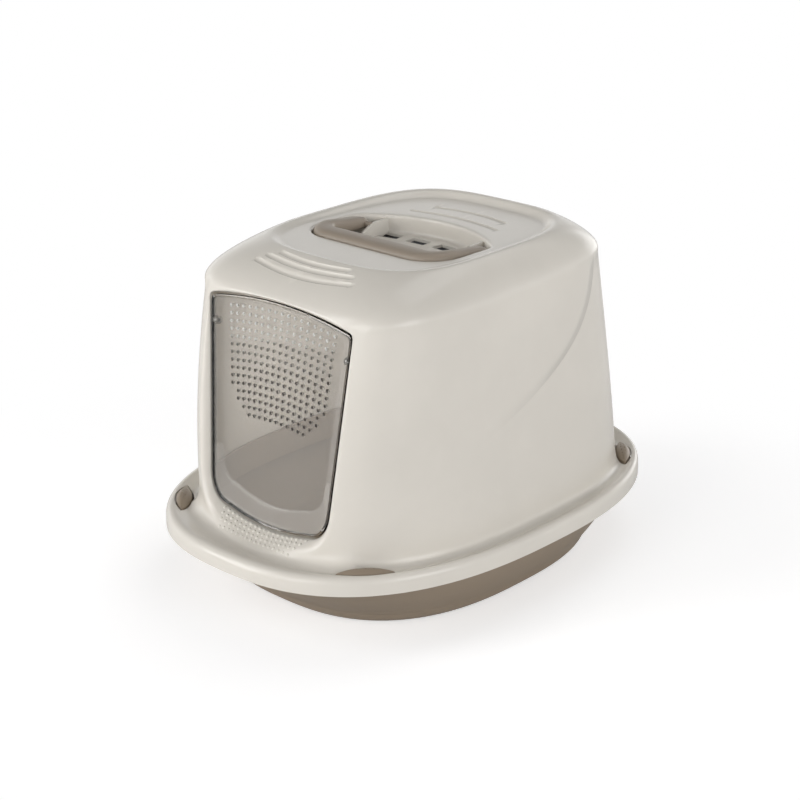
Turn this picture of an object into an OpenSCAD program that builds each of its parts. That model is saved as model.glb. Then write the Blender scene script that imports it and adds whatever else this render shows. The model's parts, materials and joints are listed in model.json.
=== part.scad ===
// Hooded cat litter box: a flared tray, a one-piece hood with a swing flap, a carry handle,
// four side latches and a charcoal filter held under the roof by a hinged cover.
// Millimetres. Origin on the floor at the centre of the footprint, front towards -Y, +Z up.

/* [Hood outline] */
// Length over the flange, front to back
hood_length = 520; // [500:1:560]
// Width over the flange
hood_width = 378; // [365:1:400]
// Squareness of the flange outline, 2 is an ellipse
flange_square = 2.53; // [2.4:0.01:2.7]
// Height of the flange's lower edge above the floor
rim_height = 60; // [50:1:70]
// Thickness of the moulded walls of the hood
hood_wall = 3; // [2.4:0.1:3.4]

/* [Flange] */
// Width of the flange at the sides
flange_side = 29; // [27:1:33]
// Width of the flange at the front
flange_front = 41; // [38:1:46]
// Width of the flange at the back
flange_back = 26; // [24:1:32]
// Height of the flange's rounded crest above its lower edge
crest_height = 17.5; // [16.5:0.1:19]
// Height of the channel floor above the flange's lower edge
channel_height = 12; // [11.5:0.1:13]

/* [Walls and roof] */
// Inward lean of the side walls from flange to shoulder
lean_side = 18; // [14:1:20]
// Inward lean of the front wall
lean_front = 35; // [32:1:38]
// Inward lean of the back wall
lean_back = 69; // [60:1:75]
// Height of the shoulder above the flange at the front
shoulder_front = 233; // [229:1:236]
// Height of the shoulder above the flange at the back
shoulder_back = 249; // [246:1:252]
// Step in from the shoulder to the roof ridge at the sides
roof_side = 27; // [24:1:29]
// Step in from the shoulder to the roof ridge at the front
roof_front = 58; // [56:1:62]
// Step in from the shoulder to the roof ridge at the back
roof_back = 20; // [18:1:24]
// Height of the ridge above the flange at the front
ridge_front = 272; // [271:0.1:273]
// Height of the ridge above the flange at the back
ridge_back = 276; // [275:0.5:280]
// Height of the dish floor above the flange
dish_height = 269.7; // [268.5:0.1:270]

/* [Door] */
// Height of the flap's hinge axis above the flange
hinge_height = 204.4; // [203:0.1:206]
// Distance from the flap's face to the front wall at the hinge
flap_setback = 5; // [4:0.1:6]
// Forward tilt of the flap from vertical, in degrees
flap_tilt = 6.4; // [6:0.1:7]
// Half width of the flap at the hinge
flap_half = 90.4; // [86:0.1:91]
// How much the flap narrows on each side, per mm of height
flap_taper = 0.078; // [0.06:0.001:0.09]
// Height of the flap's top corners above the hinge
flap_above = 24.6; // [22:0.1:26]
// Rise of the arched top edge over its corners
flap_arch = 9.6; // [7:0.1:10]
// Depth of the flap below the hinge, to the middle of its bottom edge
flap_below = 182; // [176:0.5:183]
// Radius of the flap's lower corners
flap_corner = 27; // [20:0.5:32]
// Sag of the bottom edge between its corners
flap_sag = 6.5; // [4:0.1:8]
// Thickness of the flap panel
flap_thick = 2.4; // [2:0.1:3]
// Depth of the raised edge round the flap
flap_edge = 4.6; // [4:0.1:6]
// Gap between the flap and the doorway
flap_gap = 2; // [1.6:0.1:2.4]
// Flare of the doorway recess to the sides, per mm of depth
recess_flare = 0.85; // [0.7:0.05:1]
// Flare of the doorway recess at the sill, per mm of depth
sill_flare = 0.46; // [0.4:0.02:0.5]

/* [Flap holes] */
// Diameter of the breathing holes
hole_d = 3.6; // [3:0.1:4]
// Sideways pitch of the holes
hole_pitch_x = 8.6; // [8:0.1:9]
// Downward pitch of the holes
hole_pitch_z = 7.4; // [7:0.1:8]
// Number of columns of holes
hole_columns = 17; // [13:2:17]

/* [Handle pocket] */
// Half width of the pocket
pocket_half = 89; // [86:0.5:90]
// Distance from the pocket's centre line to its front edge
pocket_front = 56; // [54:0.5:58]
// Distance from the pocket's centre line to the middle of its bowed back edge
pocket_back = 62.5; // [58:0.5:64]
// Place of the pocket's centre line, towards the back
pocket_y = -11; // [-13:0.5:-9]
// Radius of the pocket's front corners
pocket_corner = 35; // [30:1:38]
// Radius of the pocket's bowed back edge
pocket_bow = 128; // [120:1:140]
// Depth of the pocket below the dish floor
pocket_depth = 18.5; // [18:0.5:20]
// Number of vent slots in the pocket floor
slot_count = 4; // [3:1:4]
// Pitch of the vent slots
slot_pitch = 34.8; // [32:0.1:36]
// Width of a vent slot
slot_w = 18.5; // [17:0.5:20]
// Depth of a vent slot, front to back
slot_d = 11.5; // [9:0.5:12]

/* [Carry handle] */
// Width of the grip bar, front to back
bar_w = 26.5; // [24:0.5:28]
// Thickness of the grip bar
bar_t = 15; // [13:0.5:16]
// Height of the grip bar's top above the dish floor
bar_proud = 5; // [3:0.5:6]
// Width of each arm of the bail
arm_w = 17; // [15:0.5:18]
// Thickness of each arm at its trunnion
arm_t = 12; // [11:0.5:12.5]
// Gap between the bail and the pocket wall
handle_gap = 1.6; // [1.2:0.1:2]
// Radius of the handle's trunnions
handle_pin_r = 3; // [2.5:0.1:3.5]
// Distance from the pocket's centre line back to the handle's axis
handle_axis_y = 23; // [20:0.5:25]
// Depth of the handle's axis below the dish floor
handle_axis_drop = 6.5; // [6.2:0.1:7.5]

/* [Latches] */
// Place of each latch on the flange's outline, as a share of its half width
latch_share = 0.723; // [0.7:0.001:0.74]
// Turn of each latch from the flange's edge, in degrees
latch_skew = 2.5; // [0:0.5:4]
// Length of a latch
latch_length = 57; // [52:0.5:60]
// Width of a latch
latch_width = 15; // [13:0.5:16]
// Height of the latch's domed thumb piece
latch_dome = 11.5; // [9:0.1:12]
// Distance from the latch's axis in to the flange's outer face
latch_inset = 17; // [16.5:0.1:17.5]
// Radius of the latch trunnions
latch_pin_r = 1.5; // [1.3:0.1:1.7]

/* [Tray] */
// Width of the tray's floor, as a share of the hood's width
tray_share_x = 0.778; // [0.74:0.001:0.8]
// Length of the tray's floor, as a share of the hood's length
tray_share_y = 0.696; // [0.66:0.001:0.71]
// Squareness of the tray's outline
tray_square = 2.6; // [2.5:0.01:2.7]
// Thickness of the tray
tray_wall = 2.6; // [2.2:0.1:3]
// Radius of the tray's lower edge
tray_round = 12; // [8:1:16]

/* [Litter guard] */
// Height of the guard's top edge above the flange's lower edge
guard_height = 34; // [30:1:36]
// Thickness of the guard
guard_wall = 2.4; // [2:0.1:3]
// Half width of the guard's gap at the doorway
guard_gap = 102; // [100:1:108]

/* [Filter] */
// Width of the filter pad
pad_w = 136; // [132:1:140]
// Length of the filter pad, front to back
pad_l = 66; // [60:1:68]
// Thickness of the filter pad
pad_t = 7; // [5:0.5:8]
// Wall of the filter cover
cover_wall = 2.4; // [2:0.1:2.6]

/* [Hidden] */

$fn = 32;
ring_points = 56;            // points round each moulded outline
rest_gap = 0.3;              // clearance between pieces that rest on each other
running = 0.05;              // radial clearance of each pin in its bore
through = 40;                // how far a cut reaches past what it cuts

cream = [0.87, 0.85, 0.81];
taupe = [0.47, 0.42, 0.36];
smoke = [0.78, 0.78, 0.77, 0.45];
charcoal = [0.16, 0.16, 0.17];
grey = [0.55, 0.55, 0.54];

// ---- Sections. A section is [half width, front y, back y, squareness, front z, back z].
function mix(a, b, t) = a + (b - a) * t;
function bow(t) = 4 * t * (1 - t);
function power(v, e) = sign(v) * pow(abs(v), e);

function section_point(s, angle) =
    let (u = power(sin(angle), 2 / s[3]),
         y = u < 0 ? -u * s[1] : u * s[2])
    [s[0] * power(cos(angle), 2 / s[3]), y, mix(s[4], s[5], (y - s[1]) / (s[2] - s[1]))];

function section_ring(s) =
    [for (i = [0 : ring_points - 1]) section_point(s, 360 * (i + 0.5) / ring_points)];

// Half width of a section at a place along Y, and its front face at a place along X.
function width_at(s, y) =
    let (u = y < 0 ? y / s[1] : y / s[2])
    s[0] * pow(max(0, 1 - pow(abs(u), s[3])), 1 / s[3]);
function front_at(s, x) = s[1] * pow(max(0, 1 - pow(abs(x / s[0]), s[3])), 1 / s[3]);

// A closed solid through a list of sections, from the bottom up.
module loft(sections) {
    n = ring_points;
    last = (len(sections) - 1) * n;
    polyhedron(
        points = [for (s = sections) each section_ring(s)],
        faces = concat(
            [[for (i = [0 : n - 1]) i]],
            [for (k = [0 : len(sections) - 2], i = [0 : n - 1])
                let (a = k * n + i, b = k * n + (i + 1) % n)
                each [[a, a + n, b + n], [a, b + n, b]]],
            [[for (i = [n - 1 : -1 : 0]) last + i]]),
        convexity = 10);
}

// The same list of sections set in by a wall, square to its own profile.
function inset_section(sections, i, wall) =
    let (lo = sections[max(0, i - 1)],
         hi = sections[min(len(sections) - 1, i + 1)],
         run = hi[0] - lo[0],
         rise = (hi[4] + hi[5] - lo[4] - lo[5]) / 2,
         size = norm([run, rise]),
         out = wall * rise / size,
         up = -wall * run / size,
         s = sections[i])
    [s[0] - out, s[1] + out, s[2] - out, s[3], s[4] - up, s[5] - up];

function inset_sections(sections, wall) =
    [for (i = [0 : len(sections) - 1]) inset_section(sections, i, wall)];

// ---- Hood profile
half_w = hood_width / 2;
half_l = hood_length / 2;
base_x = half_w - flange_side;
base_front = -(half_l - flange_front);
base_back = half_l - flange_back;
base_square = 2.76;
base_height = 20;            // where the wall proper starts, above the flange's lower edge
shoulder_x = base_x - lean_side;
shoulder_y0 = base_front + lean_front;
shoulder_y1 = base_back - lean_back;
shoulder_square = 4.5;
ridge_x = shoulder_x - roof_side;
ridge_y0 = shoulder_y0 + roof_front;
ridge_y1 = shoulder_y1 - roof_back;
ridge_square = 3.4;
front_belly = 4;             // how far the front wall swells past a straight line
roof_flare = 1.4;            // how long the roof's sides stay out before they lean in
roof_corner = 1.4;           // how much squarer the roof's corners are half way up
roof_round = 1.9;            // how long the roof's front stays out before it leans back

// Stations across the flange: share of the way in, and height above the lower edge.
flange_profile = [[0, 0], [0, 4], [0, channel_height - 1.2], [0.03, crest_height - 3.6],
    [0.09, crest_height - 1.1], [0.18, crest_height], [0.28, crest_height - 0.4],
    [0.42, crest_height - 2.4], [0.56, channel_height + 1], [0.7, channel_height],
    [0.82, channel_height + 0.5], [0.91, channel_height + 2.6]];

function flange_section(share, h) =
    [mix(half_w, base_x, share), mix(-half_l, base_front, share), mix(half_l, base_back, share),
     mix(flange_square, base_square, share), rim_height + h, rim_height + h];

function wall_section(t) =
    [mix(base_x, shoulder_x, t), mix(base_front, shoulder_y0, t) - front_belly * bow(t),
     mix(base_back, shoulder_y1, t) - 0.9 * front_belly * bow(t), mix(base_square, shoulder_square, t),
     rim_height + mix(base_height, shoulder_front, t), rim_height + mix(base_height, shoulder_back, t)];

function roof_section(t) =
    [shoulder_x - roof_side * pow(t, roof_flare), shoulder_y0 + roof_front * pow(t, roof_round),
     mix(shoulder_y1, ridge_y1, t),
     mix(shoulder_square, ridge_square, t) + roof_corner * bow(t),
     rim_height + mix(shoulder_front, ridge_front, t), rim_height + mix(shoulder_back, ridge_back, t)];

// The dish: from the ridge down to its flat floor.
dish_step = 4;               // width of the ridge's rounded top
dish_x = ridge_x - 16;
dish_y0 = ridge_y0 + 10;
dish_y1 = ridge_y1 - 16;
dish_z = rim_height + dish_height;
dish_sections = [
    [ridge_x - dish_step, ridge_y0 + 3, ridge_y1 - dish_step, ridge_square,
     rim_height + ridge_front + 0.3, rim_height + ridge_back + 0.6],
    [ridge_x - 2 * dish_step, ridge_y0 + 5.5, ridge_y1 - 2 * dish_step, ridge_square,
     rim_height + ridge_front - 0.5, rim_height + ridge_back - 0.4],
    [dish_x + 3, dish_y0 - 2, dish_y1 + 3, ridge_square, dish_z + 0.5, dish_z + 1.4],
    [dish_x, dish_y0, dish_y1, ridge_square, dish_z, dish_z]];

wall_steps = 9;
roof_steps = 8;
hood_sections = concat(
    [for (p = flange_profile) flange_section(p[0], p[1])],
    [for (i = [0 : wall_steps]) wall_section(i / wall_steps)],
    [for (i = [1 : roof_steps]) roof_section(i / roof_steps)],
    dish_sections);

function hollow_sections() =
    let (inner = inset_sections(hood_sections, hood_wall), foot = inner[0])
    concat([[foot[0], foot[1], foot[2], foot[3], rim_height - 1, rim_height - 1]],
        [for (i = [1 : len(inner) - 1]) inner[i]]);

// ---- Door frame: X across, Z up along the flap, Y into the cabin, origin on the hinge axis
hinge_z = rim_height + hinge_height;
hinge_share = (hinge_height - base_height) / (shoulder_front - base_height);
pin_back = 2.2;              // hinge axis behind the flap's mid plane
hinge_y = front_at(wall_section(hinge_share), flap_half) + flap_setback + flap_thick / 2 + pin_back;

module in_door() {
    translate([0, hinge_y, hinge_z])
        rotate([-flap_tilt, 0, 0])
            translate([0, -pin_back, 0])
                children();
}

function flap_width(z) = flap_half + flap_taper * z;
flap_foot = -flap_below + flap_sag + flap_corner;

// The flap's outline, grown sideways, up and down by the given amounts.
function flap_outline(side, top, foot) =
    let (corner = flap_width(flap_foot) - flap_corner, wide = flap_width(flap_above) + side)
    concat(
        [for (i = [-8 : 8]) [-i / 8 * wide, flap_above + top + flap_arch * (1 - pow(i / 8, 2))]],
        [for (a = [0 : 15 : 90])
            [-(corner + (flap_corner + side) * cos(a)), flap_foot - (flap_corner + foot) * sin(a)]],
        [for (i = [-5 : 5]) [i / 6 * corner, -flap_below - foot + flap_sag * pow(i / 6, 2)]],
        [for (a = [90 : -15 : 0])
            [corner + (flap_corner + side) * cos(a), flap_foot - (flap_corner + foot) * sin(a)]]);

module flap_slab(side, top, foot, y0, y1) {
    translate([0, y1, 0])
        rotate([90, 0, 0])
            linear_extrude(y1 - y0)
                polygon(flap_outline(side, top, foot));
}

// The flared recess in front of the flap, grown by the wall it leaves.
module door_recess(grow) {
    depth = recess_depth;
    hull() {
        flap_slab(flap_gap + grow, flap_gap + grow, flap_gap + grow, -flap_edge / 2 - 1, -flap_edge / 2);
        flap_slab(flap_gap + grow + depth * recess_flare, flap_gap + grow + depth * 0.35,
            flap_gap + grow + depth * sill_flare, -depth - 1, -depth);
    }
}

recess_depth = 26;           // how far forward the recess reaches, out past the front wall
jamb_depth = 5;              // how far the jamb reaches behind the flap's mid plane

module door_liner() {
    in_door() {
        door_recess(hood_wall);
        flap_slab(flap_gap + hood_wall, flap_gap + hood_wall, flap_gap + hood_wall,
            -flap_edge / 2, jamb_depth);
    }
}

module door_opening() {
    in_door() {
        door_recess(0);
        flap_slab(flap_gap, flap_gap, flap_gap, -flap_edge / 2 - 0.5, through);
    }
}

// ---- Hinge of the flap
flap_pin_r = 2.2;
pin_lug_r = 4.2;             // boss round each flap pin
boss_in = flap_half + flap_gap + 0.4;
boss_out = boss_in + 6;
flap_pin_in = flap_half - 6;
flap_pin_out = boss_out - 1;

module flap_bosses() {
    for (side = [-1, 1])
        translate([side > 0 ? boss_in : -boss_out, hinge_y, hinge_z])
            rotate([0, 90, 0])
                cylinder(r = pin_lug_r, h = boss_out - boss_in);
}

module across(r, length, y, z) {
    translate([-length / 2, y, z])
        rotate([0, 90, 0])
            cylinder(r = r, h = length);
}

// ---- Handle pocket in the dish
pocket_floor = dish_z - pocket_depth;
pocket_y0 = pocket_y - pocket_front;
pocket_y1 = pocket_y + pocket_back;
corner_x = pocket_half - pocket_corner;
corner_y = pocket_y0 + pocket_corner;

module pocket(grow, z0, z1) {
    round_back = 14;
    translate([0, 0, z0])
        linear_extrude(z1 - z0)
            offset(r = grow + round_back)
                offset(delta = -round_back)
                    intersection() {
                        union() {
                            for (side = [-1, 1])
                                translate([side * corner_x, corner_y]) circle(r = pocket_corner, $fn = 40);
                            translate([-corner_x, pocket_y0]) square([2 * corner_x, pocket_corner]);
                            translate([-pocket_half, corner_y])
                                square([2 * pocket_half, pocket_y1 - corner_y]);
                        }
                        translate([0, pocket_y1 - pocket_bow]) circle(r = pocket_bow, $fn = 90);
                    }
}

handle_y = pocket_y + handle_axis_y;
handle_z = dish_z - handle_axis_drop;
web_x = 62;                  // inner face of each web beside the handle's arms
web_t = 3;

module handle_webs() {
    intersection() {
        pocket(1, pocket_floor - 1, dish_z - 0.5);
        for (side = [-1, 1])
            translate([side > 0 ? web_x : -web_x - web_t, 0, 0])
                rotate([90, 0, 90])
                    linear_extrude(web_t)
                        polygon([[handle_y - 16, pocket_floor - 1], [handle_y - 14, handle_z - 5],
                            [handle_y + 1, dish_z - 4.2], [pocket_y1 + 2, dish_z - 2.6],
                            [pocket_y1 + 2, pocket_floor - 1]]);
    }
}

slot_y = pocket_y1 - 20;
slot_bend = 3.4;             // how far the outer slots drop back with the bowed edge

module vent_slots() {
    for (i = [0 : slot_count - 1]) {
        x = (i - (slot_count - 1) / 2) * slot_pitch;
        share = x / slot_pitch / 1.5;
        translate([x, slot_y - slot_bend * share * share, pocket_floor])
            rotate([0, 0, -9 * share])
                cube([slot_w, slot_d, 2 * through], center = true);
    }
}

// ---- Filter bay under the pocket floor
bay_top = pocket_floor - hood_wall;
pad_top = bay_top - rest_gap;
pad_bottom = pad_top - pad_t;
pad_y = pocket_y + 19;
cover_gap = 0.8;
cover_x = pad_w / 2 + cover_gap + cover_wall;
cover_y0 = pad_y - pad_l / 2 - cover_gap - cover_wall;
cover_y1 = pad_y + pad_l / 2 + cover_gap + cover_wall;
cover_bottom = pad_bottom - rest_gap - cover_wall;
cover_pin_r = 2.5;
lug_top = dish_z - hood_wall / 2;
cover_axis_y = cover_y1 - 4;
cover_axis_z = cover_bottom + 3.4;
lug_in = cover_x + 0.6;
lug_t = 4;

module filter_lugs() {
    for (side = [-1, 1])
        translate([side > 0 ? lug_in : -lug_in - lug_t, cover_axis_y - 5, cover_axis_z - 5])
            cube([lug_t, 10, lug_top - cover_axis_z + 5]);
}

// ---- Latches: local X along the latch, local Y outwards, origin on the trunnion axis
latch_slot_gap = 1.6;
latch_axis_h = 9.5;          // trunnion axis above the flange's lower edge
latch_low = 10;              // underside of the thumb plate above the flange's lower edge
hook_bottom = 0.4;
hook_t = 1.8;
boss_near = latch_length / 2 + 0.6;
boss_far = boss_near + 5;

// The point of the flange's outer edge that faces a latch, and from it the latch's own place.
function edge_y(x) = half_l * pow(1 - pow(x / half_w, flange_square), 1 / flange_square);
edge_x = latch_share * half_w;
slope_x = pow(edge_x / half_w, flange_square - 1) / half_w;
slope_y = pow(edge_y(edge_x) / half_l, flange_square - 1) / half_l;
latch_angle = atan2(slope_x, slope_y) - latch_skew;
latch_out = [sin(latch_angle), cos(latch_angle)];
latch_x = edge_x - latch_inset * latch_out[0];
latch_y = edge_y(edge_x) - latch_inset * latch_out[1];

module at_latch(side, end) {
    mirror([side < 0 ? 1 : 0, 0, 0])
        mirror([0, end < 0 ? 1 : 0, 0])
            translate([latch_x, latch_y, rim_height])
                rotate([0, 0, -latch_angle])
                    children();
}

module at_latches() {
    for (side = [-1, 1], end = [-1, 1])
        at_latch(side, end) children();
}

// A lens between two arcs.
module lens(length, width) {
    bulge = width / 2;
    radius = (length * length / 4 + bulge * bulge) / (2 * bulge);
    intersection() {
        translate([0, radius - bulge, 0]) circle(r = radius, $fn = 80);
        translate([0, bulge - radius, 0]) circle(r = radius, $fn = 80);
    }
}

module latch_pocket() {
    translate([0, 0, tray_top_h + rest_gap])
        linear_extrude(through)
            lens(latch_length + 2 * latch_slot_gap, latch_width + 2 * latch_slot_gap);
}

module latch_bosses() {
    for (side = [-1, 1])
        translate([side > 0 ? boss_near : -boss_far, 0, latch_axis_h])
            rotate([0, 90, 0])
                cylinder(r = 3.2, h = boss_far - boss_near);
}

module latch_bore() {
    translate([-boss_far - 0.5, 0, latch_axis_h])
        rotate([0, 90, 0])
            cylinder(r = latch_pin_r + running, h = 2 * boss_far + 1);
}

// ---- Tray
tray_top_h = 5.5;            // top of the tray's ledge above the flange's lower edge
tray_ledge_t = 2.1;
tray_gap_side = 6.4;         // from the flange's outer face in to the ledge's edge, at the sides
tray_gap_end = 14.8;         // the same at the front and the back
ledge_w = 6;
tray_top = rim_height + tray_top_h;
tray_floor_x = tray_share_x * half_w;
tray_floor_y = tray_share_y * half_l;
ledge_x = half_w - tray_gap_side;
ledge_y = half_l - tray_gap_end;
tray_top_x = ledge_x - ledge_w;
tray_top_y0 = -(ledge_y - ledge_w);
tray_top_y1 = ledge_y - ledge_w;

function tray_wall_section(t) =
    [mix(tray_floor_x + 6, tray_top_x, t) + 3 * bow(t), mix(-tray_floor_y - 8, tray_top_y0, t) - 4 * bow(t),
     mix(tray_floor_y + 8, tray_top_y1, t) + 4 * bow(t), mix(tray_square, flange_square, t),
     mix(tray_round, tray_top, t), mix(tray_round, tray_top, t)];

function tray_foot_section(angle) =
    let (reach = sin(angle), rise = 1 - cos(angle), s = tray_wall_section(0))
    [mix(tray_floor_x - 6, s[0], reach), mix(-tray_floor_y + 6, s[1], reach),
     mix(tray_floor_y - 6, s[2], reach), s[3], tray_round * rise, tray_round * rise];

tray_sections = concat(
    [for (a = [0 : 22.5 : 67.5]) tray_foot_section(a)],
    [for (t = [0 : 0.25 : 1]) tray_wall_section(t)]);

function tray_hollow() =
    let (inner = inset_sections(tray_sections, tray_wall), n = len(inner), lip = inner[n - 1])
    concat([for (i = [0 : n - 2]) i == 0 ? floor_section(inner[0]) : inner[i]],
        [lift_section(lip, tray_top), lift_section(lip, tray_top + 2)]);
function floor_section(s) = [s[0], s[1], s[2], s[3], tray_wall, tray_wall];
function lift_section(s, z) = [s[0], s[1], s[2], s[3], z, z];

function ledge_section(grow, z) =
    [tray_top_x + grow, tray_top_y0 - grow, tray_top_y1 + grow, flange_square, z, z];

module tray() {
    color(taupe)
        resize([0, 0, 0])
            difference() {
                union() {
                    loft(tray_sections);
                    loft([ledge_section(ledge_w, tray_top - tray_ledge_t),
                        ledge_section(ledge_w, tray_top)]);
                }
                loft(tray_hollow());
            }
}

// ---- Seat of the hood on the tray
seat_grow = 2.1;
seat_w = 2.6;

module seat_ring() {
    difference() {
        loft([ledge_section(seat_grow, tray_top + rest_gap),
            ledge_section(seat_grow, rim_height + crest_height)]);
        loft([ledge_section(seat_grow - seat_w, tray_top),
            ledge_section(seat_grow - seat_w, rim_height + crest_height + 1)]);
    }
}

// ---- Hood
module hood_body() {
    difference() {
        union() {
            difference() {
                loft(hood_sections);
                loft(hollow_sections());
            }
            intersection() {
                loft(hood_sections);
                union() {
                    door_liner();
                    flap_bosses();
                    seat_ring();
                    at_latches() latch_bosses();
                }
            }
            pocket(hood_wall, bay_top, dish_z - 0.5);
            filter_lugs();
        }
        door_opening();
        difference() {
            pocket(0, pocket_floor, dish_z + 0.5);
            handle_webs();
        }
        vent_slots();
        at_latches() latch_pocket();
    }
}

module hood() {
    color(cream)
        difference() {
            resize([0, 0, 0]) hood_body();
            across(flap_pin_r + running, 2 * boss_out + 1, hinge_y, hinge_z);
            across(handle_pin_r + running, 2 * (pocket_half + hood_wall - 0.5), handle_y, handle_z);
            across(cover_pin_r + running, 2 * (lug_in + lug_t + 1), cover_axis_y, cover_axis_z);
            at_latches() latch_bore();
        }
}

// ---- Door flap
module hole_field() {
    rows = 18;
    half_field = (hole_columns - 1) / 2;
    for (c = [-half_field : half_field], r = [0 : rows - 1]) {
        wide = c * hole_pitch_x;
        z = flap_above - 10 + flap_arch * (1 - pow(wide / flap_half, 2)) - r * hole_pitch_z;
        x = wide * (1 + 0.0014 * (z - flap_above));
        low = -86 + 26 * pow(x / 62, 4);
        if (z > low)
            translate([x, 0, z])
                rotate([90, 0, 0])
                    cylinder(d = hole_d, h = 3 * flap_edge, center = true, $fn = 16);
    }
}

module door_flap() {
    rim = 2.2;
    color(smoke)
        difference() {
            union() {
                in_door() {
                    flap_slab(0, 0, 0, -flap_thick / 2, flap_thick / 2);
                    difference() {
                        flap_slab(0, 0, 0, -flap_edge / 2, flap_edge / 2);
                        flap_slab(-rim, -rim, -rim, -flap_edge, flap_edge);
                    }
                }
                for (side = [-1, 1])
                    translate([side > 0 ? flap_pin_in : -flap_half, hinge_y, hinge_z])
                        rotate([0, 90, 0])
                            cylinder(r = pin_lug_r, h = flap_half - flap_pin_in);
            }
            for (side = [-1, 1])
                translate([side > 0 ? flap_pin_in : -flap_half - 1, hinge_y, hinge_z])
                    rotate([0, 90, 0])
                        cylinder(r = flap_pin_r, h = flap_half + 1 - flap_pin_in);
            in_door() hole_field();
        }
}

module flap_pin(side) {
    color(grey)
        translate([side > 0 ? flap_pin_in : -flap_pin_out, hinge_y, hinge_z])
            rotate([0, 90, 0])
                cylinder(r = flap_pin_r, h = flap_pin_out - flap_pin_in);
}

// ---- Carry handle: a bail swept round three sides of the pocket
bar_z = dish_z + bar_proud - bar_t / 2;
bail_outer = pocket_corner - handle_gap;
arm_x = pocket_half - handle_gap - arm_w / 2;
bail_steps = 8;

// Half of the bail's middle line, from the pivot to the front: [x, y, z, width, thickness].
bail_half = concat(
    [for (i = [0 : 3])
        let (t = i / 4)
        [arm_x, mix(handle_y, corner_y, t), mix(handle_z, bar_z, t), arm_w, mix(arm_t, bar_t, t)]],
    [for (i = [0 : bail_steps])
        let (t = i / bail_steps, a = 90 * t, w = mix(arm_w, bar_w, t), r = bail_outer - w / 2)
        [corner_x + r * cos(a), corner_y - r * sin(a), bar_z, w, bar_t]],
    [for (i = [1 : 3])
        [corner_x * (1 - i / 3), pocket_y0 + handle_gap + bar_w / 2, bar_z, bar_w, bar_t]]);
bail_path = concat(bail_half, [for (i = [len(bail_half) - 2 : -1 : 0])
    let (p = bail_half[i])
    [-p[0], p[1], p[2], p[3], p[4]]]);

function heading(p, i) =
    let (a = p[max(0, i - 1)], b = p[min(len(p) - 1, i + 1)], d = [b[0] - a[0], b[1] - a[1]])
    d / norm(d);

bail_sides = 20;
module bail() {
    p = bail_path;
    n = bail_sides;
    last = (len(p) - 1) * n;
    polyhedron(
        points = [for (k = [0 : len(p) - 1], i = [0 : n - 1])
            let (d = heading(p, k), a = 360 * i / n,
                 side = power(cos(a), 0.75) * p[k][3] / 2, up = power(sin(a), 0.75) * p[k][4] / 2)
            [p[k][0] - d[1] * side, p[k][1] + d[0] * side, p[k][2] + up]],
        faces = concat(
            [[for (i = [0 : n - 1]) i]],
            [for (k = [0 : len(p) - 2], i = [0 : n - 1])
                let (a = k * n + i, b = k * n + (i + 1) % n)
                each [[a, a + n, b + n], [a, b + n, b]]],
            [[for (i = [n - 1 : -1 : 0]) last + i]]),
        convexity = 6);
}

module carry_handle() {
    knuckle_in = arm_x - arm_w / 2 + 0.6;
    knuckle_out = arm_x + arm_w / 2 - 2.4;
    pin_in = web_x + web_t / 2;
    pin_out = pocket_half + hood_wall - 0.8;
    color(taupe)
        union() {
            bail();
            for (side = [-1, 1]) {
                translate([side > 0 ? knuckle_in : -knuckle_out, handle_y, handle_z])
                    rotate([0, 90, 0])
                        cylinder(r = arm_t / 2 - 0.2, h = knuckle_out - knuckle_in);
                translate([side > 0 ? pin_in : -pin_out, handle_y, handle_z])
                    rotate([0, 90, 0])
                        cylinder(r = handle_pin_r, h = pin_out - pin_in);
            }
        }
}

// ---- Latch
leg_out = 8.6;               // outer face of the leg, outwards from the axis
leg_t = 2.2;
hook_reach = 4;              // how far the hook runs back in from the leg's outer face
leg_half = 9;

// The thumb piece's section: share of the lens it keeps, and height above its underside.
dome_steps = [[0, 0.1], [0.7, 4.6], [2.3, 7.4], [3.9, 10], [5.6, 11.5]];

module thumb_dome() {
    hull()
        for (step = dome_steps) {
            z = latch_low + step[1] / 11.5 * latch_dome;
            translate([0, 0, z - 0.1])
                linear_extrude(0.1)
                    lens(latch_length - 3 * step[0], latch_width - 2 * step[0]);
        }
}

module latch(side, end) {
    block = latch_length / 2 - 4;
    color(taupe)
        at_latch(side, end)
            union() {
                thumb_dome();
                translate([-block, -2, latch_axis_h - 2])
                    cube([2 * block, 4, 4]);
                translate([-leg_half, leg_out - leg_t, hook_bottom])
                    cube([2 * leg_half, leg_t, latch_low + 0.5 - hook_bottom]);
                translate([-leg_half, 0, latch_low - 1.5])
                    cube([2 * leg_half, leg_out, 2]);
                translate([-leg_half, leg_out - hook_reach, hook_bottom])
                    cube([2 * leg_half, hook_reach, hook_t]);
                translate([-boss_far + 0.4, 0, latch_axis_h])
                    rotate([0, 90, 0])
                        cylinder(r = latch_pin_r, h = 2 * boss_far - 0.8);
            }
}

// ---- Filter
module filter_pad() {
    color(charcoal)
        translate([-pad_w / 2, pad_y - pad_l / 2, pad_bottom])
            cube([pad_w, pad_l, pad_t]);
}

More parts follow.
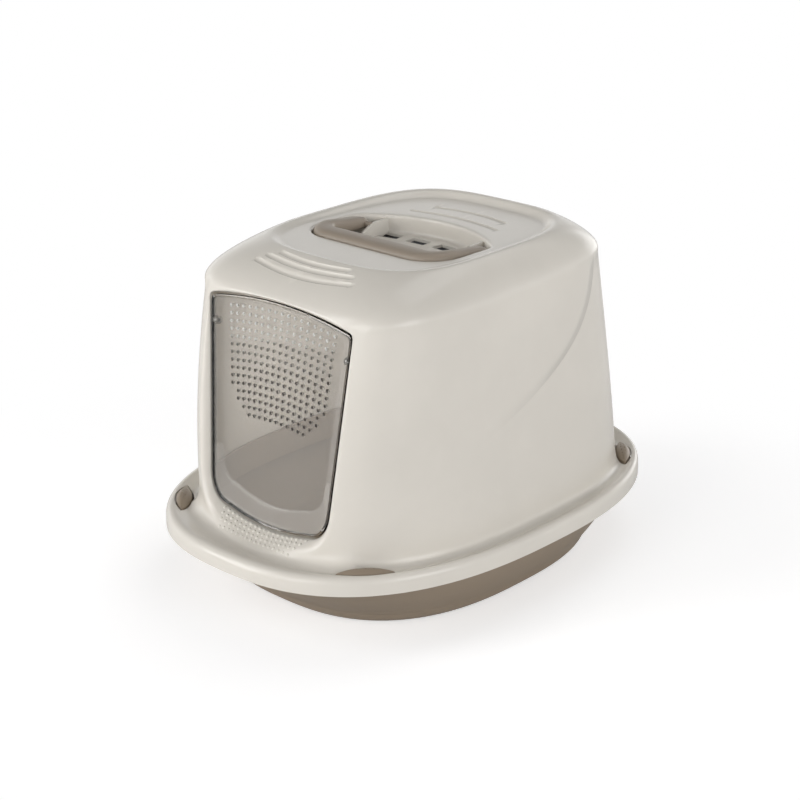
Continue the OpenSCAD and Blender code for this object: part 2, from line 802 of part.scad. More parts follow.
module filter_cover() {
    bars = 9;
    pitch = pad_w / bars;
    color(cream)
        difference() {
            union() {
                translate([-cover_x, cover_y0, cover_bottom])
                    cube([2 * cover_x, cover_y1 - cover_y0, bay_top - rest_gap - 3 - cover_bottom]);
                across(cover_pin_r, 2 * (lug_in + lug_t - 0.4), cover_axis_y, cover_axis_z);
            }
            translate([-cover_x + cover_wall, cover_y0 + cover_wall, cover_bottom + cover_wall])
                cube([2 * (cover_x - cover_wall), cover_y1 - cover_y0 - 2 * cover_wall, through]);
            for (i = [0 : bars - 1])
                translate([-pad_w / 2 + (i + 0.5) * pitch - 5, pad_y - pad_l / 2 + 8, cover_bottom - 1])
                    cube([10, pad_l - 16, cover_wall + 2]);
        }
}

// ---- Litter guard: a ring wedged in the tray's flared mouth, with an upright wall inside the hood
guard_low = rim_height + 2.5;
guard_top = rim_height + guard_height;

function tray_mouth(z, gap) =
    let (s = tray_wall_section((z - tray_round) / (tray_top - tray_round)), g = 1.15 * tray_wall + gap)
    [s[0] - g, s[1] + g, s[2] - g, s[3], z, z];
function guard_section(t, gap, z) =
    let (s = wall_section(t), g = hood_wall + gap)
    [s[0] - g, s[1] + g, s[2] - g, s[3], z, z];

module litter_guard() {
    gap = 2;
    t = (guard_height - base_height) / (shoulder_back - base_height);
    color(taupe)
        resize([0, 0, 0])
            difference() {
                union() {
                    loft([tray_mouth(guard_low, rest_gap), tray_mouth(guard_low + guard_wall, rest_gap)]);
                    loft([guard_section(0, gap, guard_low), guard_section(t, gap, guard_top)]);
                }
                loft([guard_section(0, gap + guard_wall, guard_low - 1),
                    guard_section(t, gap + guard_wall, guard_top + 1)]);
                translate([-guard_gap, -hood_length / 2, guard_low + guard_wall])
                    cube([2 * guard_gap, hood_length / 3, guard_height]);
            }
}

tray();
hood();
door_flap();
flap_pin(-1);  // flap_pin_left
flap_pin(1);  // flap_pin_right
carry_handle();
latch(-1, -1);  // latch_front_left
latch(1, -1);  // latch_front_right
latch(-1, 1);  // latch_rear_left
latch(1, 1);  // latch_rear_right
filter_pad();
filter_cover();
litter_guard();
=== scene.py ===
import json
import math

import bmesh
import bpy
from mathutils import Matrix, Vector
from mathutils.bvhtree import BVHTree


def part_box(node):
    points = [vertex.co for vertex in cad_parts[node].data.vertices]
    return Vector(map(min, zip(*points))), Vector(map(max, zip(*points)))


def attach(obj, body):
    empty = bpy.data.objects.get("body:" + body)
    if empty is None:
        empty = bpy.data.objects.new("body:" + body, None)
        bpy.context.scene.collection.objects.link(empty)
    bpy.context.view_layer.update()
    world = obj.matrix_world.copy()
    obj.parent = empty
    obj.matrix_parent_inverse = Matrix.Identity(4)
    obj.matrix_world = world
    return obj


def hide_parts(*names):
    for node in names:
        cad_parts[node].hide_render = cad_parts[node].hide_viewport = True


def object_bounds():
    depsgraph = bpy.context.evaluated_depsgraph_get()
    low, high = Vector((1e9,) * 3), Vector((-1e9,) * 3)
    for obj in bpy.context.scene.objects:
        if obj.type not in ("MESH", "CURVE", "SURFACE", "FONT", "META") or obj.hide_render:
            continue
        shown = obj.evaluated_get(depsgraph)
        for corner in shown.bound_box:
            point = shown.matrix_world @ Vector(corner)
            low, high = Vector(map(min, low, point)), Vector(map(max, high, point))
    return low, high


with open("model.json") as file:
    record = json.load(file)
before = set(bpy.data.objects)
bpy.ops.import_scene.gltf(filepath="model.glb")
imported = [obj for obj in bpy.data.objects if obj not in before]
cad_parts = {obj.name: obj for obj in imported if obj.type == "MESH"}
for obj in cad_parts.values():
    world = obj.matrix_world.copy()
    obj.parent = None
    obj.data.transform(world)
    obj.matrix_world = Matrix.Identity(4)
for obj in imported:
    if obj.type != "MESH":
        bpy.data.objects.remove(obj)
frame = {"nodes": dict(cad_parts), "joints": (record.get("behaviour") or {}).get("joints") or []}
cadLow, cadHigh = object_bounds()
print("loaded", len(frame["nodes"]), "nodes")

mm = 0.001


# small helpers

def deselect():
    if bpy.context.object and bpy.context.object.mode != "OBJECT":
        bpy.ops.object.mode_set(mode="OBJECT")
    bpy.ops.object.select_all(action="DESELECT")


def pick(piece):                  # make one piece the active and only selected one
    deselect()
    piece.select_set(True)
    bpy.context.view_layer.objects.active = piece
    return piece


def edit(piece, kind="VERT"):
    pick(piece)
    bpy.ops.object.mode_set(mode="EDIT")
    bpy.ops.mesh.select_mode(type=kind)
    bpy.ops.mesh.select_all(action="DESELECT")


def chooseVerts(test):            # in edit mode: select the vertices that pass the test
    mesh = bmesh.from_edit_mesh(bpy.context.object.data)
    mesh.verts.ensure_lookup_table()
    for vert in mesh.verts:
        vert.select_set(bool(test(vert)))
    mesh.select_flush_mode()
    bmesh.update_edit_mesh(bpy.context.object.data)


def chooseFaces(test):
    mesh = bmesh.from_edit_mesh(bpy.context.object.data)
    for face in mesh.faces:
        face.select_set(bool(test(face)))
    bmesh.update_edit_mesh(bpy.context.object.data)


def chooseEdges(test):
    mesh = bmesh.from_edit_mesh(bpy.context.object.data)
    for edge in mesh.edges:
        edge.select_set(bool(test(edge)))
    bmesh.update_edit_mesh(bpy.context.object.data)


def doneEditing():
    bpy.ops.object.mode_set(mode="OBJECT")


def modify(piece, kind, **settings):     # add a modifier and apply it
    pick(piece)
    modifier = piece.modifiers.new(kind.title(), kind)
    for key, value in settings.items():
        setattr(modifier, key, value)
    bpy.ops.object.modifier_apply(modifier=modifier.name)
    return piece


def outward(piece, weld=0):       # turn the faces outward, after joining points closer than the weld
    edit(piece)
    bpy.ops.mesh.select_all(action="SELECT")
    if weld:
        bpy.ops.mesh.remove_doubles(threshold=weld)
    bpy.ops.mesh.normals_make_consistent(inside=False)
    doneEditing()


def smooth(piece, angle=35):
    pick(piece)
    bpy.ops.object.shade_smooth_by_angle(angle=math.radians(angle))


def joinAll(pieces, name):
    deselect()
    for piece in pieces:
        piece.select_set(True)
    bpy.context.view_layer.objects.active = pieces[0]
    if len(pieces) > 1:
        bpy.ops.object.join()
    pieces[0].name = name
    pieces[0].data.name = name
    return pieces[0]


def copyOf(piece, name):
    other = piece.copy()
    other.data = piece.data.copy()
    other.name = name
    bpy.context.scene.collection.objects.link(other)
    return other


def cut(piece, cutter):
    modify(piece, "BOOLEAN", operation="DIFFERENCE", object=cutter, solver="EXACT")
    bpy.data.objects.remove(cutter)
    return piece


def balls(radius, spots, sides, rows, name):    # one small ball, copied to every spot, in metres
    bpy.ops.mesh.primitive_uv_sphere_add(segments=sides, ring_count=rows, radius=radius, location=spots[0])
    made = [bpy.context.object]
    for spot in spots[1:]:
        made.append(copyOf(made[0], name))
        made[-1].location = spot
    joined = joinAll(made, name)
    bpy.ops.object.transform_apply(location=True, rotation=True, scale=True)
    return joined


def jointOf(name):
    return next(joint for joint in frame["joints"] if joint["name"] == name)


def surfaceOf(piece):             # to find where a line meets the piece
    mesh = piece.data
    return BVHTree.FromPolygons([v.co for v in mesh.vertices], [f.vertices for f in mesh.polygons])


def loopsObject(name, loops, joined=False):     # closed loops of edges, each joined to the next by quads
    verts, edges, faces = [], [], []
    for loop in loops:
        first, count = len(verts), len(loop)
        verts += [tuple(point) for point in loop]
        edges += [(first + i, first + (i + 1) % count) for i in range(count)]
    if joined:
        for k in range(len(loops) - 1):
            for i in range(count):
                a, b = k * count + i, k * count + (i + 1) % count
                faces.append((a, b, b + count, a + count))
    mesh = bpy.data.meshes.new(name)
    mesh.from_pydata(verts, edges if not joined else [], faces)
    piece = bpy.data.objects.new(name, mesh)
    bpy.context.scene.collection.objects.link(piece)
    return piece


def skin(name, loops, capFirst=False, capLast=False):
    count = len(loops[0])
    piece = loopsObject(name, loops, joined=True)
    edit(piece, "EDGE")
    for wanted, loop in ((capFirst, 0), (capLast, len(loops) - 1)):
        if wanted:
            ends = range(loop * count, (loop + 1) * count)
            chooseEdges(lambda e: e.verts[0].index in ends and e.verts[1].index in ends)
            bpy.ops.mesh.edge_face_add()
    doneEditing()
    return piece


def mix(a, b, t):
    return a + (b - a) * t


def bow(t):
    return 4 * t * (1 - t)


def spread(points, counts, closed=True):      # the same outline with new, evenly spaced points
    line = [Vector(p) for p in points]
    if closed:
        line.append(line[0])
    reach = [0]
    for a, b in zip(line, line[1:]):
        reach.append(reach[-1] + (b - a).length)
    out, k = [], 0
    for i in range(counts + (0 if closed else 1)):
        want = reach[-1] * i / counts
        while k < len(reach) - 2 and reach[k + 1] < want:
            k += 1
        span = reach[k + 1] - reach[k]
        out.append(line[k].lerp(line[k + 1], (want - reach[k]) / span if span else 0))
    return out


# hood: its outline and profile in mm, the same as the solid hood's

hoodLow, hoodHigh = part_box("hood")
halfWide, halfLong, rimHeight = hoodHigh.x / mm, hoodHigh.y / mm, hoodLow.z / mm
hoodShape = {
    "columns": 128, "wallSteps": 15, "roofSteps": 9, "wall": 3,
    "flangeSide": 29, "flangeFront": 41, "flangeBack": 26, "flangeSquare": 2.53,
    "crest": 17.5, "channel": 12, "base": 20, "baseSquare": 2.76,
    "leanSide": 18, "leanFront": 35, "leanBack": 69, "belly": 4, "bellyBack": 3.6,
    "shoulderFront": 233, "shoulderBack": 249, "shoulderSquare": 4.5,
    "roofSide": 27, "roofFront": 58, "roofBack": 20, "ridgeSquare": 3.4,
    "flare": 1.4, "corner": 1.4, "round": 1.9,
    "ridgeFront": 272, "ridgeBack": 276, "dish": 269.7,
}


def ringOf(section, columns=None):      # half width, front, back, squareness, front height, back height
    wide, front, back, square, low, high = section
    power = 2 / square
    quarter = []
    for end, way in ((front, 1), (back, -1)):
        line = []
        for i in range(121):
            angle = math.pi / 2 * i / 120
            line.append((wide * math.cos(angle) ** power, end * math.sin(angle) ** power, 0))
        line[-1] = (0, end, 0)
        quarter.append(line)
    steps = (columns or hoodShape["columns"]) // 4
    ahead = spread(quarter[0][::-1], steps, closed=False)      # front middle to the right side
    behind = spread(quarter[1], steps, closed=False)           # right side to the back middle
    half = ahead + behind[1:]
    ring = half + [Vector((-p.x, p.y, 0)) for p in half[-2:0:-1]]
    return [Vector((p.x, p.y, mix(low, high, (p.y - front) / (back - front)))) * mm for p in ring]


def flangeSection(share, height):
    s = hoodShape
    return (halfWide - s["flangeSide"] * share, s["flangeFront"] * share - halfLong,
            halfLong - s["flangeBack"] * share, mix(s["flangeSquare"], s["baseSquare"], share),
            rimHeight + height, rimHeight + height)


def wallSection(t):
    s = hoodShape
    wide, front, back = flangeSection(1, 0)[:3]
    return (wide - s["leanSide"] * t, front + s["leanFront"] * t - s["belly"] * bow(t),
            back - s["leanBack"] * t - s["bellyBack"] * bow(t),
            mix(s["baseSquare"], s["shoulderSquare"], t),
            rimHeight + mix(s["base"], s["shoulderFront"], t),
            rimHeight + mix(s["base"], s["shoulderBack"], t))


def roofSection(t):
    s = hoodShape
    wide, front, back, square, low, high = wallSection(1)
    return (wide - s["roofSide"] * t ** s["flare"], front + s["roofFront"] * t ** s["round"],
            back - s["roofBack"] * t, mix(square, s["ridgeSquare"], t) + s["corner"] * bow(t),
            mix(low, rimHeight + s["ridgeFront"], t), mix(high, rimHeight + s["ridgeBack"], t))


def flangeStations():
    crest, channel = hoodShape["crest"], hoodShape["channel"]
    return [(0, 0), (0, 1), (0, channel - 1.2), (0.03, crest - 3.6), (0.09, crest - 1.1), (0.18, crest),
            (0.28, crest - 0.4), (0.42, crest - 2.4), (0.56, channel + 1), (0.7, channel),
            (0.82, channel + 0.5), (0.91, channel + 2.6)]


def dishSections():
    wide, front, back, square, low, high = roofSection(1)
    floor = rimHeight + hoodShape["dish"]
    return [(wide - 4, front + 3, back - 4, square, low + 0.3, high + 0.6),
            (wide - 8, front + 5.5, back - 8, square, low - 0.5, high - 0.4),
            (wide - 10.5, front + 7, back - 10.5, square, mix(floor, low, 0.45), mix(floor, high, 0.5)),
            (wide - 13, front + 8, back - 13, square, floor + 0.4, floor + 1),
            (wide - 15.5, front + 9.6, back - 15.5, square, floor, floor),
            (wide - 17.5, front + 11.5, back - 17.5, square, floor, floor)]


# handle pocket in the dish

pocketShape = {"half": 89, "centre": -11, "front": 56, "back": 62.5, "corner": 35, "backCorner": 14,
               "bow": 128, "depth": 18.5}
dishFloor = rimHeight + hoodShape["dish"]


def pocketOutline(grow):          # from the front middle round by the right side
    s = pocketShape
    half, corner = s["half"] + grow, s["corner"] + grow
    front, back = s["centre"] - s["front"] - grow, s["centre"] + s["back"] + grow
    line = [(0, front, 0), (half - corner, front, 0)]
    line += [(half - corner + corner * math.sin(a), front + corner - corner * math.cos(a), 0)
             for a in (math.radians(6 * i) for i in range(1, 16))]
    radius, small = s["bow"] + grow, s["backCorner"] + grow
    heart = back - radius
    reach = radius - small                      # the back corner's centre lies on this circle
    x = half - small
    y = heart + math.sqrt(reach * reach - x * x)
    end = math.atan2(x, y - heart)              # where the corner meets the bow, from straight back
    line += [(x + small * math.cos(a), y + small * math.sin(a), 0)
             for a in (mix(0, math.pi / 2 - end, i / 12) for i in range(13))]
    line += [(radius * math.sin(end * (1 - i / 24)), heart + radius * math.cos(end * (1 - i / 24)), 0)
             for i in range(1, 25)]
    half = spread(line, hoodShape["columns"] // 2, closed=False)
    return half + [Vector((-p.x, p.y, 0)) for p in half[-2:0:-1]]


def pocketRing(grow, height):
    return [Vector((p.x, p.y, height)) * mm for p in pocketOutline(grow)]


# doorway: X across, Z up along the flap, Y into the cabin, from the hinge axis

hinge = jointOf("flap_swing")
flapY, flapZ = hinge["pos_m"][1] / mm, hinge["pos_m"][2] / mm
doorShape = {
    "tilt": 6.4, "pinBack": 2.2, "half": 90.4, "taper": 0.078, "above": 24.6, "arch": 9.6,
    "below": 182, "corner": 27, "sag": 6.5, "edge": 4.6, "gap": 2, "depth": 26,
    "flare": 0.85, "topFlare": 0.35, "sillFlare": 0.46, "jamb": 5, "fillet": 6.5, "brow": 1.2,
}


def doorPoint(x, y, z):           # from the door's own frame, in mm, to the object's, in metres
    lean = math.radians(doorShape["tilt"])
    y -= doorShape["pinBack"]
    place = Vector((x, y * math.cos(lean) + z * math.sin(lean), z * math.cos(lean) - y * math.sin(lean)))
    return place * mm + Vector(hinge["pos_m"])


def flapSides(grow, growTop, growFoot, s):    # the flap's outline in four runs: top, right, foot, left
    foot = -s["below"] + s["sag"] + s["corner"]
    inner = s["half"] + s["taper"] * foot - s["corner"]
    wide = s["half"] + s["taper"] * s["above"] + grow
    r = s["corner"]
    shares = [i / 24 - 1 for i in range(49)]
    top = [(x * wide, s["above"] + growTop + s["arch"] * (1 - x * x), 0) for x in shares]

    def corner(a):
        return (inner + (r + grow) * math.cos(a), foot - (r + growFoot) * math.sin(a), 0)

    right = [(wide, s["above"] + growTop, 0)] + [corner(math.radians(a)) for a in range(0, 46, 5)]
    under = [corner(math.radians(a)) for a in range(45, 91, 5)]
    low = [(x * inner, -s["below"] - growFoot + s["sag"] * x * x, 0) for x in shares[-2::-1]]
    under += low + [(-x, z, 0) for x, z, _ in under[::-1][1:]]
    left = [(-x, z, 0) for x, z, _ in right[::-1]]
    return top, right, under, left


def flapLine(counts, grow=0, growTop=None, growFoot=None, **changes):
    growTop = grow if growTop is None else growTop
    growFoot = grow if growFoot is None else growFoot
    points = []
    for run, count in zip(flapSides(grow, growTop, growFoot, {**doorShape, **changes}), counts):
        points += spread(run, count, closed=False)[:-1]
    return points                  # x, z of each point, clockwise from the upper left corner


def doorRings(form, counts, edgeRing):
    s = doorShape
    face, deep = s["edge"] / 2, s["depth"]
    near = flapLine(counts, s["gap"])
    far = flapLine(counts, s["gap"] + deep * s["flare"], s["gap"] + deep * s["topFlare"],
                   s["gap"] + deep * s["sillFlare"])
    count = len(near)
    rings = [[] for _ in range(11)]
    for i in range(count):
        start = doorPoint(near[i].x, -face, near[i].y)
        end = doorPoint(far[i].x, -deep, far[i].y)
        way = (end - start).normalized()
        hit = form.ray_cast(start - way * 0.012, way)[0]
        if hit is None:
            hit = form.find_nearest(start)[0]
        reach = (hit - start).dot(way) / mm - s["brow"]      # never behind the flap
        hit = start + way * (s["brow"] + (reach + math.hypot(reach, 1.5)) / 2) * mm
        run = near[(i + 1) % count] - near[i - 1]
        out = doorPoint(-run.y, 0, run.x) - doorPoint(0, 0, 0)
        out = out.normalized()
        fillet = min(s["fillet"] * mm, (hit - start).length * 0.55)
        inner = hit - way * fillet
        outer = form.find_nearest(hit + out * fillet)[0]
        rings[0].append(form.find_nearest(outer.lerp(edgeRing[i], 0.66))[0])
        rings[1].append(form.find_nearest(outer.lerp(edgeRing[i], 0.33))[0])
        rings[2].append(form.find_nearest(outer.lerp(edgeRing[i], 0.1))[0])
        for k, t in enumerate((0, 0.33, 0.67, 1)):
            rings[3 + k].append(outer * (1 - t) ** 2 + hit * 2 * t * (1 - t) + inner * t * t)
        rings[7].append(start.lerp(inner, 0.5))
        rings[8].append(start.lerp(inner, 0.08))
        rings[9].append(doorPoint(near[i].x, -face + 1, near[i].y))
        rings[10].append(doorPoint(near[i].x, s["jamb"], near[i].y))
    return rings


def makeHood():
    s, columns = hoodShape, hoodShape["columns"]
    sections = [flangeSection(share, height) for share, height in flangeStations()]
    channelRing = 8
    sections += [wallSection(i / s["wallSteps"]) for i in range(s["wallSteps"] + 1)]
    sections += [roofSection(i / s["roofSteps"]) for i in range(1, s["roofSteps"] + 1)]
    topRing = 12 + s["wallSteps"] + 3           # the ring over the doorway
    sections += dishSections()
    loops = [ringOf(section) for section in sections]
    form = formSurface(sections)
    edge, lip = loops[-1], pocketRing(3.4, dishFloor)
    loops += [[a.lerp(b, t) for a, b in zip(edge, lip)] for t in (0.45, 0.85)]
    deep = pocketShape["depth"]
    for grow, drop in ((2.2, 0.05), (0.7, 0.7), (0, 2.4), (0, 9), (0, 15), (-0.9, deep - 0.9),
                       (-3.2, deep), (-6, deep)):
        loops.append(pocketRing(grow, dishFloor - drop))
    reach = 12                                   # columns either side of the middle that the doorway takes
    counts = (2 * reach, topRing - channelRing, 2 * reach, topRing - channelRing)
    edgePlaces = [(topRing, c) for c in range(-reach, reach)]
    edgePlaces += [(r, reach) for r in range(topRing, channelRing, -1)]
    edgePlaces += [(channelRing, c) for c in range(reach, -reach, -1)]
    edgePlaces += [(r, -reach) for r in range(channelRing, topRing)]
    edgeRing = [loops[r][c % columns] for r, c in edgePlaces]
    door = doorRings(form, counts, edgeRing)

    hood = loopsObject("hood_shell", loops, joined=True)
    edit(hood, "VERT")                           # floor of the pocket, then the hole for the doorway
    last = len(loops) - 1
    chooseVerts(lambda v: v.index // columns == last)
    bpy.ops.mesh.edge_face_add()
    inside = {r * columns + c % columns
              for r in range(channelRing + 1, topRing) for c in range(1 - reach, reach)}
    chooseVerts(lambda v: v.index in inside)
    bpy.ops.mesh.delete(type="VERT")
    doneEditing()

    surround = skin("door_surround", [edgeRing] + door)
    hood = joinAll([hood, surround], "hood_shell")
    outward(hood, weld=0.00005)
    modify(hood, "SUBSURF", levels=1, render_levels=1)
    return hood


def formSurface(sections):        # the plain outer surface, finely divided, to lay the door's surround on
    columns, points, faces = hoodShape["columns"] * 3, [], []
    for section in sections:
        points += ringOf(section, columns)
    for k in range(len(sections) - 1):
        for c in range(columns):
            a, b = k * columns + c, k * columns + (c + 1) % columns
            faces.append((a, b, b + columns, a + columns))
    return BVHTree.FromPolygons(points, faces)


def block(size, centre, turn=0, bevel=0, upright=True):      # a box in mm, its edges rounded
    bpy.ops.mesh.primitive_cube_add(size=1, location=Vector(centre) * mm, scale=Vector(size) * mm,
                                    rotation=(0, 0, math.radians(turn)))
    piece = bpy.context.object
    bpy.ops.object.transform_apply(location=True, rotation=True, scale=True)
    if bevel:
        edit(piece, "EDGE")
        chooseEdges(lambda e: not upright or abs((e.verts[0].co - e.verts[1].co).z) > 0.9 * size[2] * mm)
        bpy.ops.mesh.bevel(offset=bevel * mm, segments=3, affect="EDGES")
        doneEditing()
    return piece


def rod(radius, start, end, sides=32, bevel=0):              # a pin between two points, in mm
    a, b = Vector(start) * mm, Vector(end) * mm
    turn = (b - a).to_track_quat("Z", "Y").to_euler()
    bpy.ops.mesh.primitive_cylinder_add(vertices=sides, radius=radius * mm, depth=(b - a).length,
                                        location=(a + b) / 2, rotation=turn)
    piece = bpy.context.object
    bpy.ops.object.transform_apply(location=True, rotation=True, scale=True)
    if bevel:
        way = (b - a).normalized()
        edit(piece, "EDGE")
        chooseEdges(lambda e: abs((e.verts[0].co - e.verts[1].co).normalized().dot(way)) < 0.5)
        bpy.ops.mesh.bevel(offset=bevel * mm, segments=3, affect="EDGES")
        doneEditing()
    return piece


def plate(name, outline, thickness, way):      # a flat outline in mm, extruded along a direction
    piece = loopsObject(name, [[Vector(p) * mm for p in outline]])
    edit(piece, "EDGE")
    bpy.ops.mesh.select_all(action="SELECT")
    bpy.ops.mesh.edge_face_add()
    bpy.ops.mesh.extrude_region_move(TRANSFORM_OT_translate={"value": Vector(way) * thickness * mm})
    doneEditing()
    outward(piece)
    return piece


latchShape = {"length": 55.6, "width": 15, "gap": 1.6, "pocketFloor": 5.8, "low": 10, "legOut": 8.6,
              "legThick": 2.2, "legHalf": 9, "axisHeight": 9.5, "pin": 1.5, "seat": 15.5, "slant": 0.24,
              "rise": 4.9, "dimple": 1.15, "proud": 0.45, "pitch": 7.4, "rows": ((1.9, 5), (-1.9, 4)),
              "rings": (0.985, 0.95, 0.89, 0.8, 0.68, 0.53, 0.36, 0.18)}


def latchSpots():                 # name, place on the flange in mm, and turn about the upright
    spots = []
    for joint in frame["joints"]:
        if joint["name"].startswith("latch"):
            x, y = (v / mm for v in joint["pos_m"][:2])
            ax, ay = joint["axis"][:2]
            spots.append((joint["child"], Vector((x, y, rimHeight)), math.atan2(ay, ax)))
    return spots


def lensPrism(length, width, low, high):                     # two round bars crossed, as by hand
    bulge = width / 2
    radius = (length * length / 4 + bulge * bulge) / (2 * bulge)
    halves = []
    for side in (1, -1):
        centre = Vector((0, side * (radius - bulge), (low + high) / 2)) * mm
        bpy.ops.mesh.primitive_cylinder_add(vertices=240, radius=radius * mm, depth=(high - low) * mm,
                                            location=centre)
        bpy.ops.object.transform_apply(location=True, rotation=True, scale=True)
        halves.append(bpy.context.object)
    modify(halves[0], "BOOLEAN", operation="INTERSECT", object=halves[1], solver="EXACT")
    bpy.data.objects.remove(halves[1])
    return halves[0]


def settle(piece, place, turn):   # turn a piece about the upright and move it to its place in mm
    pick(piece)
    piece.location, piece.rotation_euler = Vector(place) * mm, (0, 0, turn)
    bpy.ops.object.transform_apply(location=True, rotation=True, scale=True)
    return piece


ventShape = {"count": 4, "pitch": 34.8, "wide": 23, "deep": 15, "fromBack": 20, "bend": 3.4, "turn": 9}


def cutVents(hood):
    v, p = ventShape, pocketShape
    cutters = []
    for i in range(v["count"]):
        x = (i - (v["count"] - 1) / 2) * v["pitch"]
        share = x / v["pitch"] / 1.5
        y = p["centre"] + p["back"] - v["fromBack"] - v["bend"] * share * share
        cutters.append(block((v["wide"], v["deep"], 16), (x, y, dishFloor - p["depth"]),
                             -v["turn"] * share, 1.2))
    return cut(hood, joinAll(cutters, "vent_cutters"))


def cutLatchPockets(hood):
    s = latchShape
    cutters = []
    for _, place, turn in latchSpots():
        lens = lensPrism(s["length"] + 3.4 * s["gap"], s["width"] + 2.3 * s["gap"], s["pocketFloor"], 40)
        cutters.append(settle(lens, place, turn))
    return cut(hood, joinAll(cutters, "latch_cutters"))


grooveShape = {"radius": 5, "depth": 1.5, "arcs": ((45, -130.5, 4.5), (56, -137.5, 6), (63, -146, 8),
                                                   (46, 88.5, -7.5), (56, 63, -9))}


def cutGrooves(hood):             # five shallow arcs in the roof: half length, ends' place and sag of each
    g = grooveShape
    skinNow = surfaceOf(hood)
    cutters = []
    for half, y, sag in g["arcs"]:
        line = []
        for i in range(33):
            t = i / 16 - 1
            top = skinNow.ray_cast(Vector((half * t, y - sag * (1 - t * t), 400)) * mm, Vector((0, 0, -1)))
            rise = g["radius"] - g["depth"] * min(1, (1 - abs(t)) * half / 4 + 0.35)
            line.append(top[0] + top[1] * rise * mm)
        curve = bpy.data.curves.new("groove", "CURVE")
        curve.dimensions, curve.bevel_depth, curve.bevel_resolution = "3D", g["radius"] * mm, 8
        curve.use_fill_caps = True
        run = curve.splines.new("POLY")
        run.points.add(len(line) - 1)
        for point, place in zip(run.points, line):
            point.co = (*place, 1)
        groove = bpy.data.objects.new("groove", curve)
        bpy.context.scene.collection.objects.link(groove)
        pick(groove)
        bpy.ops.object.convert(target="MESH")
        cutters.append(bpy.context.object)
    return cut(hood, joinAll(cutters, "groove_cutters"))


hood = makeHood()
modify(hood, "SOLIDIFY", thickness=hoodShape["wall"] * mm, offset=-1)
cutGrooves(hood)
cutVents(hood)
cutLatchPockets(hood)
print("hood", len(hood.data.polygons))
outerSkin = surfaceOf(hood)


# small mouldings on the hood: sill bumps, webs beside the handle, lugs for the filter cover

bumpShape = {"half": 56, "narrowing": 3, "pitch": 6.2, "rows": 4, "rowPitch": 5.332, "radius": 2.1,
             "sunk": 1.1, "first": 4.2, "above": 19}


def makeSillBumps():              # rows of balls, half sunk in the sill, the odd rows set between the even
    s, spots = bumpShape, []
    across = math.ceil(s["half"] / s["pitch"])
    for r in range(s["rows"]):
        for i in range(-across, across + 1):
            x = (i + (r % 2) * 0.5) * s["pitch"]
            if abs(x) > s["half"] - s["narrowing"] * r:
                continue
            foot = doorShape["sag"] * (x / 80) ** 2 - doorShape["below"] - doorShape["gap"]
            ahead = doorShape["edge"] / 2 + s["first"] + r * s["rowPitch"]
            hit = outerSkin.ray_cast(doorPoint(x, -ahead, foot + s["above"]), Vector((0, 0, -1)))
            if hit[0] is not None and hit[1].z > 0.5:
                spots.append(hit[0] - hit[1] * s["sunk"] * mm)
    return balls(s["radius"] * mm, spots, 10, 6, "sill_bumps")


webShape = {"inner": 62, "thick": 3, "front": 16, "rise": 14, "riseDrop": 5, "crest": 1, "crestDrop": 4.2,
            "backDrop": 2.8, "back": 6, "round": 0.4}
fold = jointOf("handle_fold")
foldY, foldZ = fold["pos_m"][1] / mm, fold["pos_m"][2] / mm


def makeWebs():
    s, p, webs = webShape, pocketShape, []
    low, back = dishFloor - p["depth"] - 0.5, p["centre"] + p["back"] - s["back"]
    for side in (1, -1):
        x = s["inner"] if side > 0 else -s["inner"] - s["thick"]
        outline = [(x, foldY - s["front"], low), (x, foldY - s["rise"], foldZ - s["riseDrop"]),
                   (x, foldY + s["crest"], dishFloor - s["crestDrop"]), (x, back, dishFloor - s["backDrop"]),
                   (x, back, low)]
        web = plate("web", outline, s["thick"], (1, 0, 0))
        edit(web, "EDGE")
        chooseEdges(lambda e: max(v.co.z for v in e.verts) > low * mm + 0.002)
        bpy.ops.mesh.bevel(offset=s["round"] * mm, segments=2, affect="EDGES")
        doneEditing()
        webs.append(web)
    return joinAll(webs, "handle_webs")


coverHinge = jointOf("filter_cover_drop")
coverY, coverZ = coverHinge["pos_m"][1] / mm, coverHinge["pos_m"][2] / mm
coverLow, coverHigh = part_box("filter_cover")
padLow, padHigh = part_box("filter_pad")
lugShape = {"centre": 73.8, "wide": 4, "long": 10, "above": 1.5, "below": 5}


def makeLugs():
    s = lugShape
    high, low = dishFloor - s["above"], coverZ - s["below"]
    lugs = [block((s["wide"], s["long"], high - low), (side * s["centre"], coverY, (high + low) / 2), 0, 1.5,
                  upright=False) for side in (1, -1)]
    return joinAll(lugs, "filter_lugs")


small = [makeSillBumps(), makeWebs(), makeLugs()]
print("mouldings")


# tray and litter guard

trayLow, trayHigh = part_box("tray")
trayShape = {"floorX": 147.042, "floorY": 180.96, "square": 2.6, "wall": 2.6, "round": 12, "ledge": 6,
             "ledgeX": 182.6, "ledgeY": 245.2}


def traySection(t, grow=0, lift=0):
    s = trayShape
    topX, topY = s["ledgeX"] - s["ledge"], s["ledgeY"] - s["ledge"]
    floorX, floorY = s["floorX"], s["floorY"]
    z = mix(s["round"], trayHigh.z / mm, t) + lift
    return (mix(floorX + 6, topX, t) + 3 * bow(t) + grow, mix(-floorY - 8, -topY, t) - 4 * bow(t) - grow,
            mix(floorY + 8, topY, t) + 4 * bow(t) + grow,
            mix(s["square"], hoodShape["flangeSquare"], t), z, z)


def trayFoot(angle, grow=0, lift=0):
    s = trayShape
    floorX, floorY = s["floorX"], s["floorY"]
    reach, rise = math.sin(math.radians(angle)), 1 - math.cos(math.radians(angle))
    wide, front, back, square = traySection(0)[:4]
    z = s["round"] * rise + lift
    return (mix(floorX - 6, wide, reach) + grow, mix(6 - floorY, front, reach) - grow,
            mix(floorY - 6, back, reach) + grow, square, z, z)


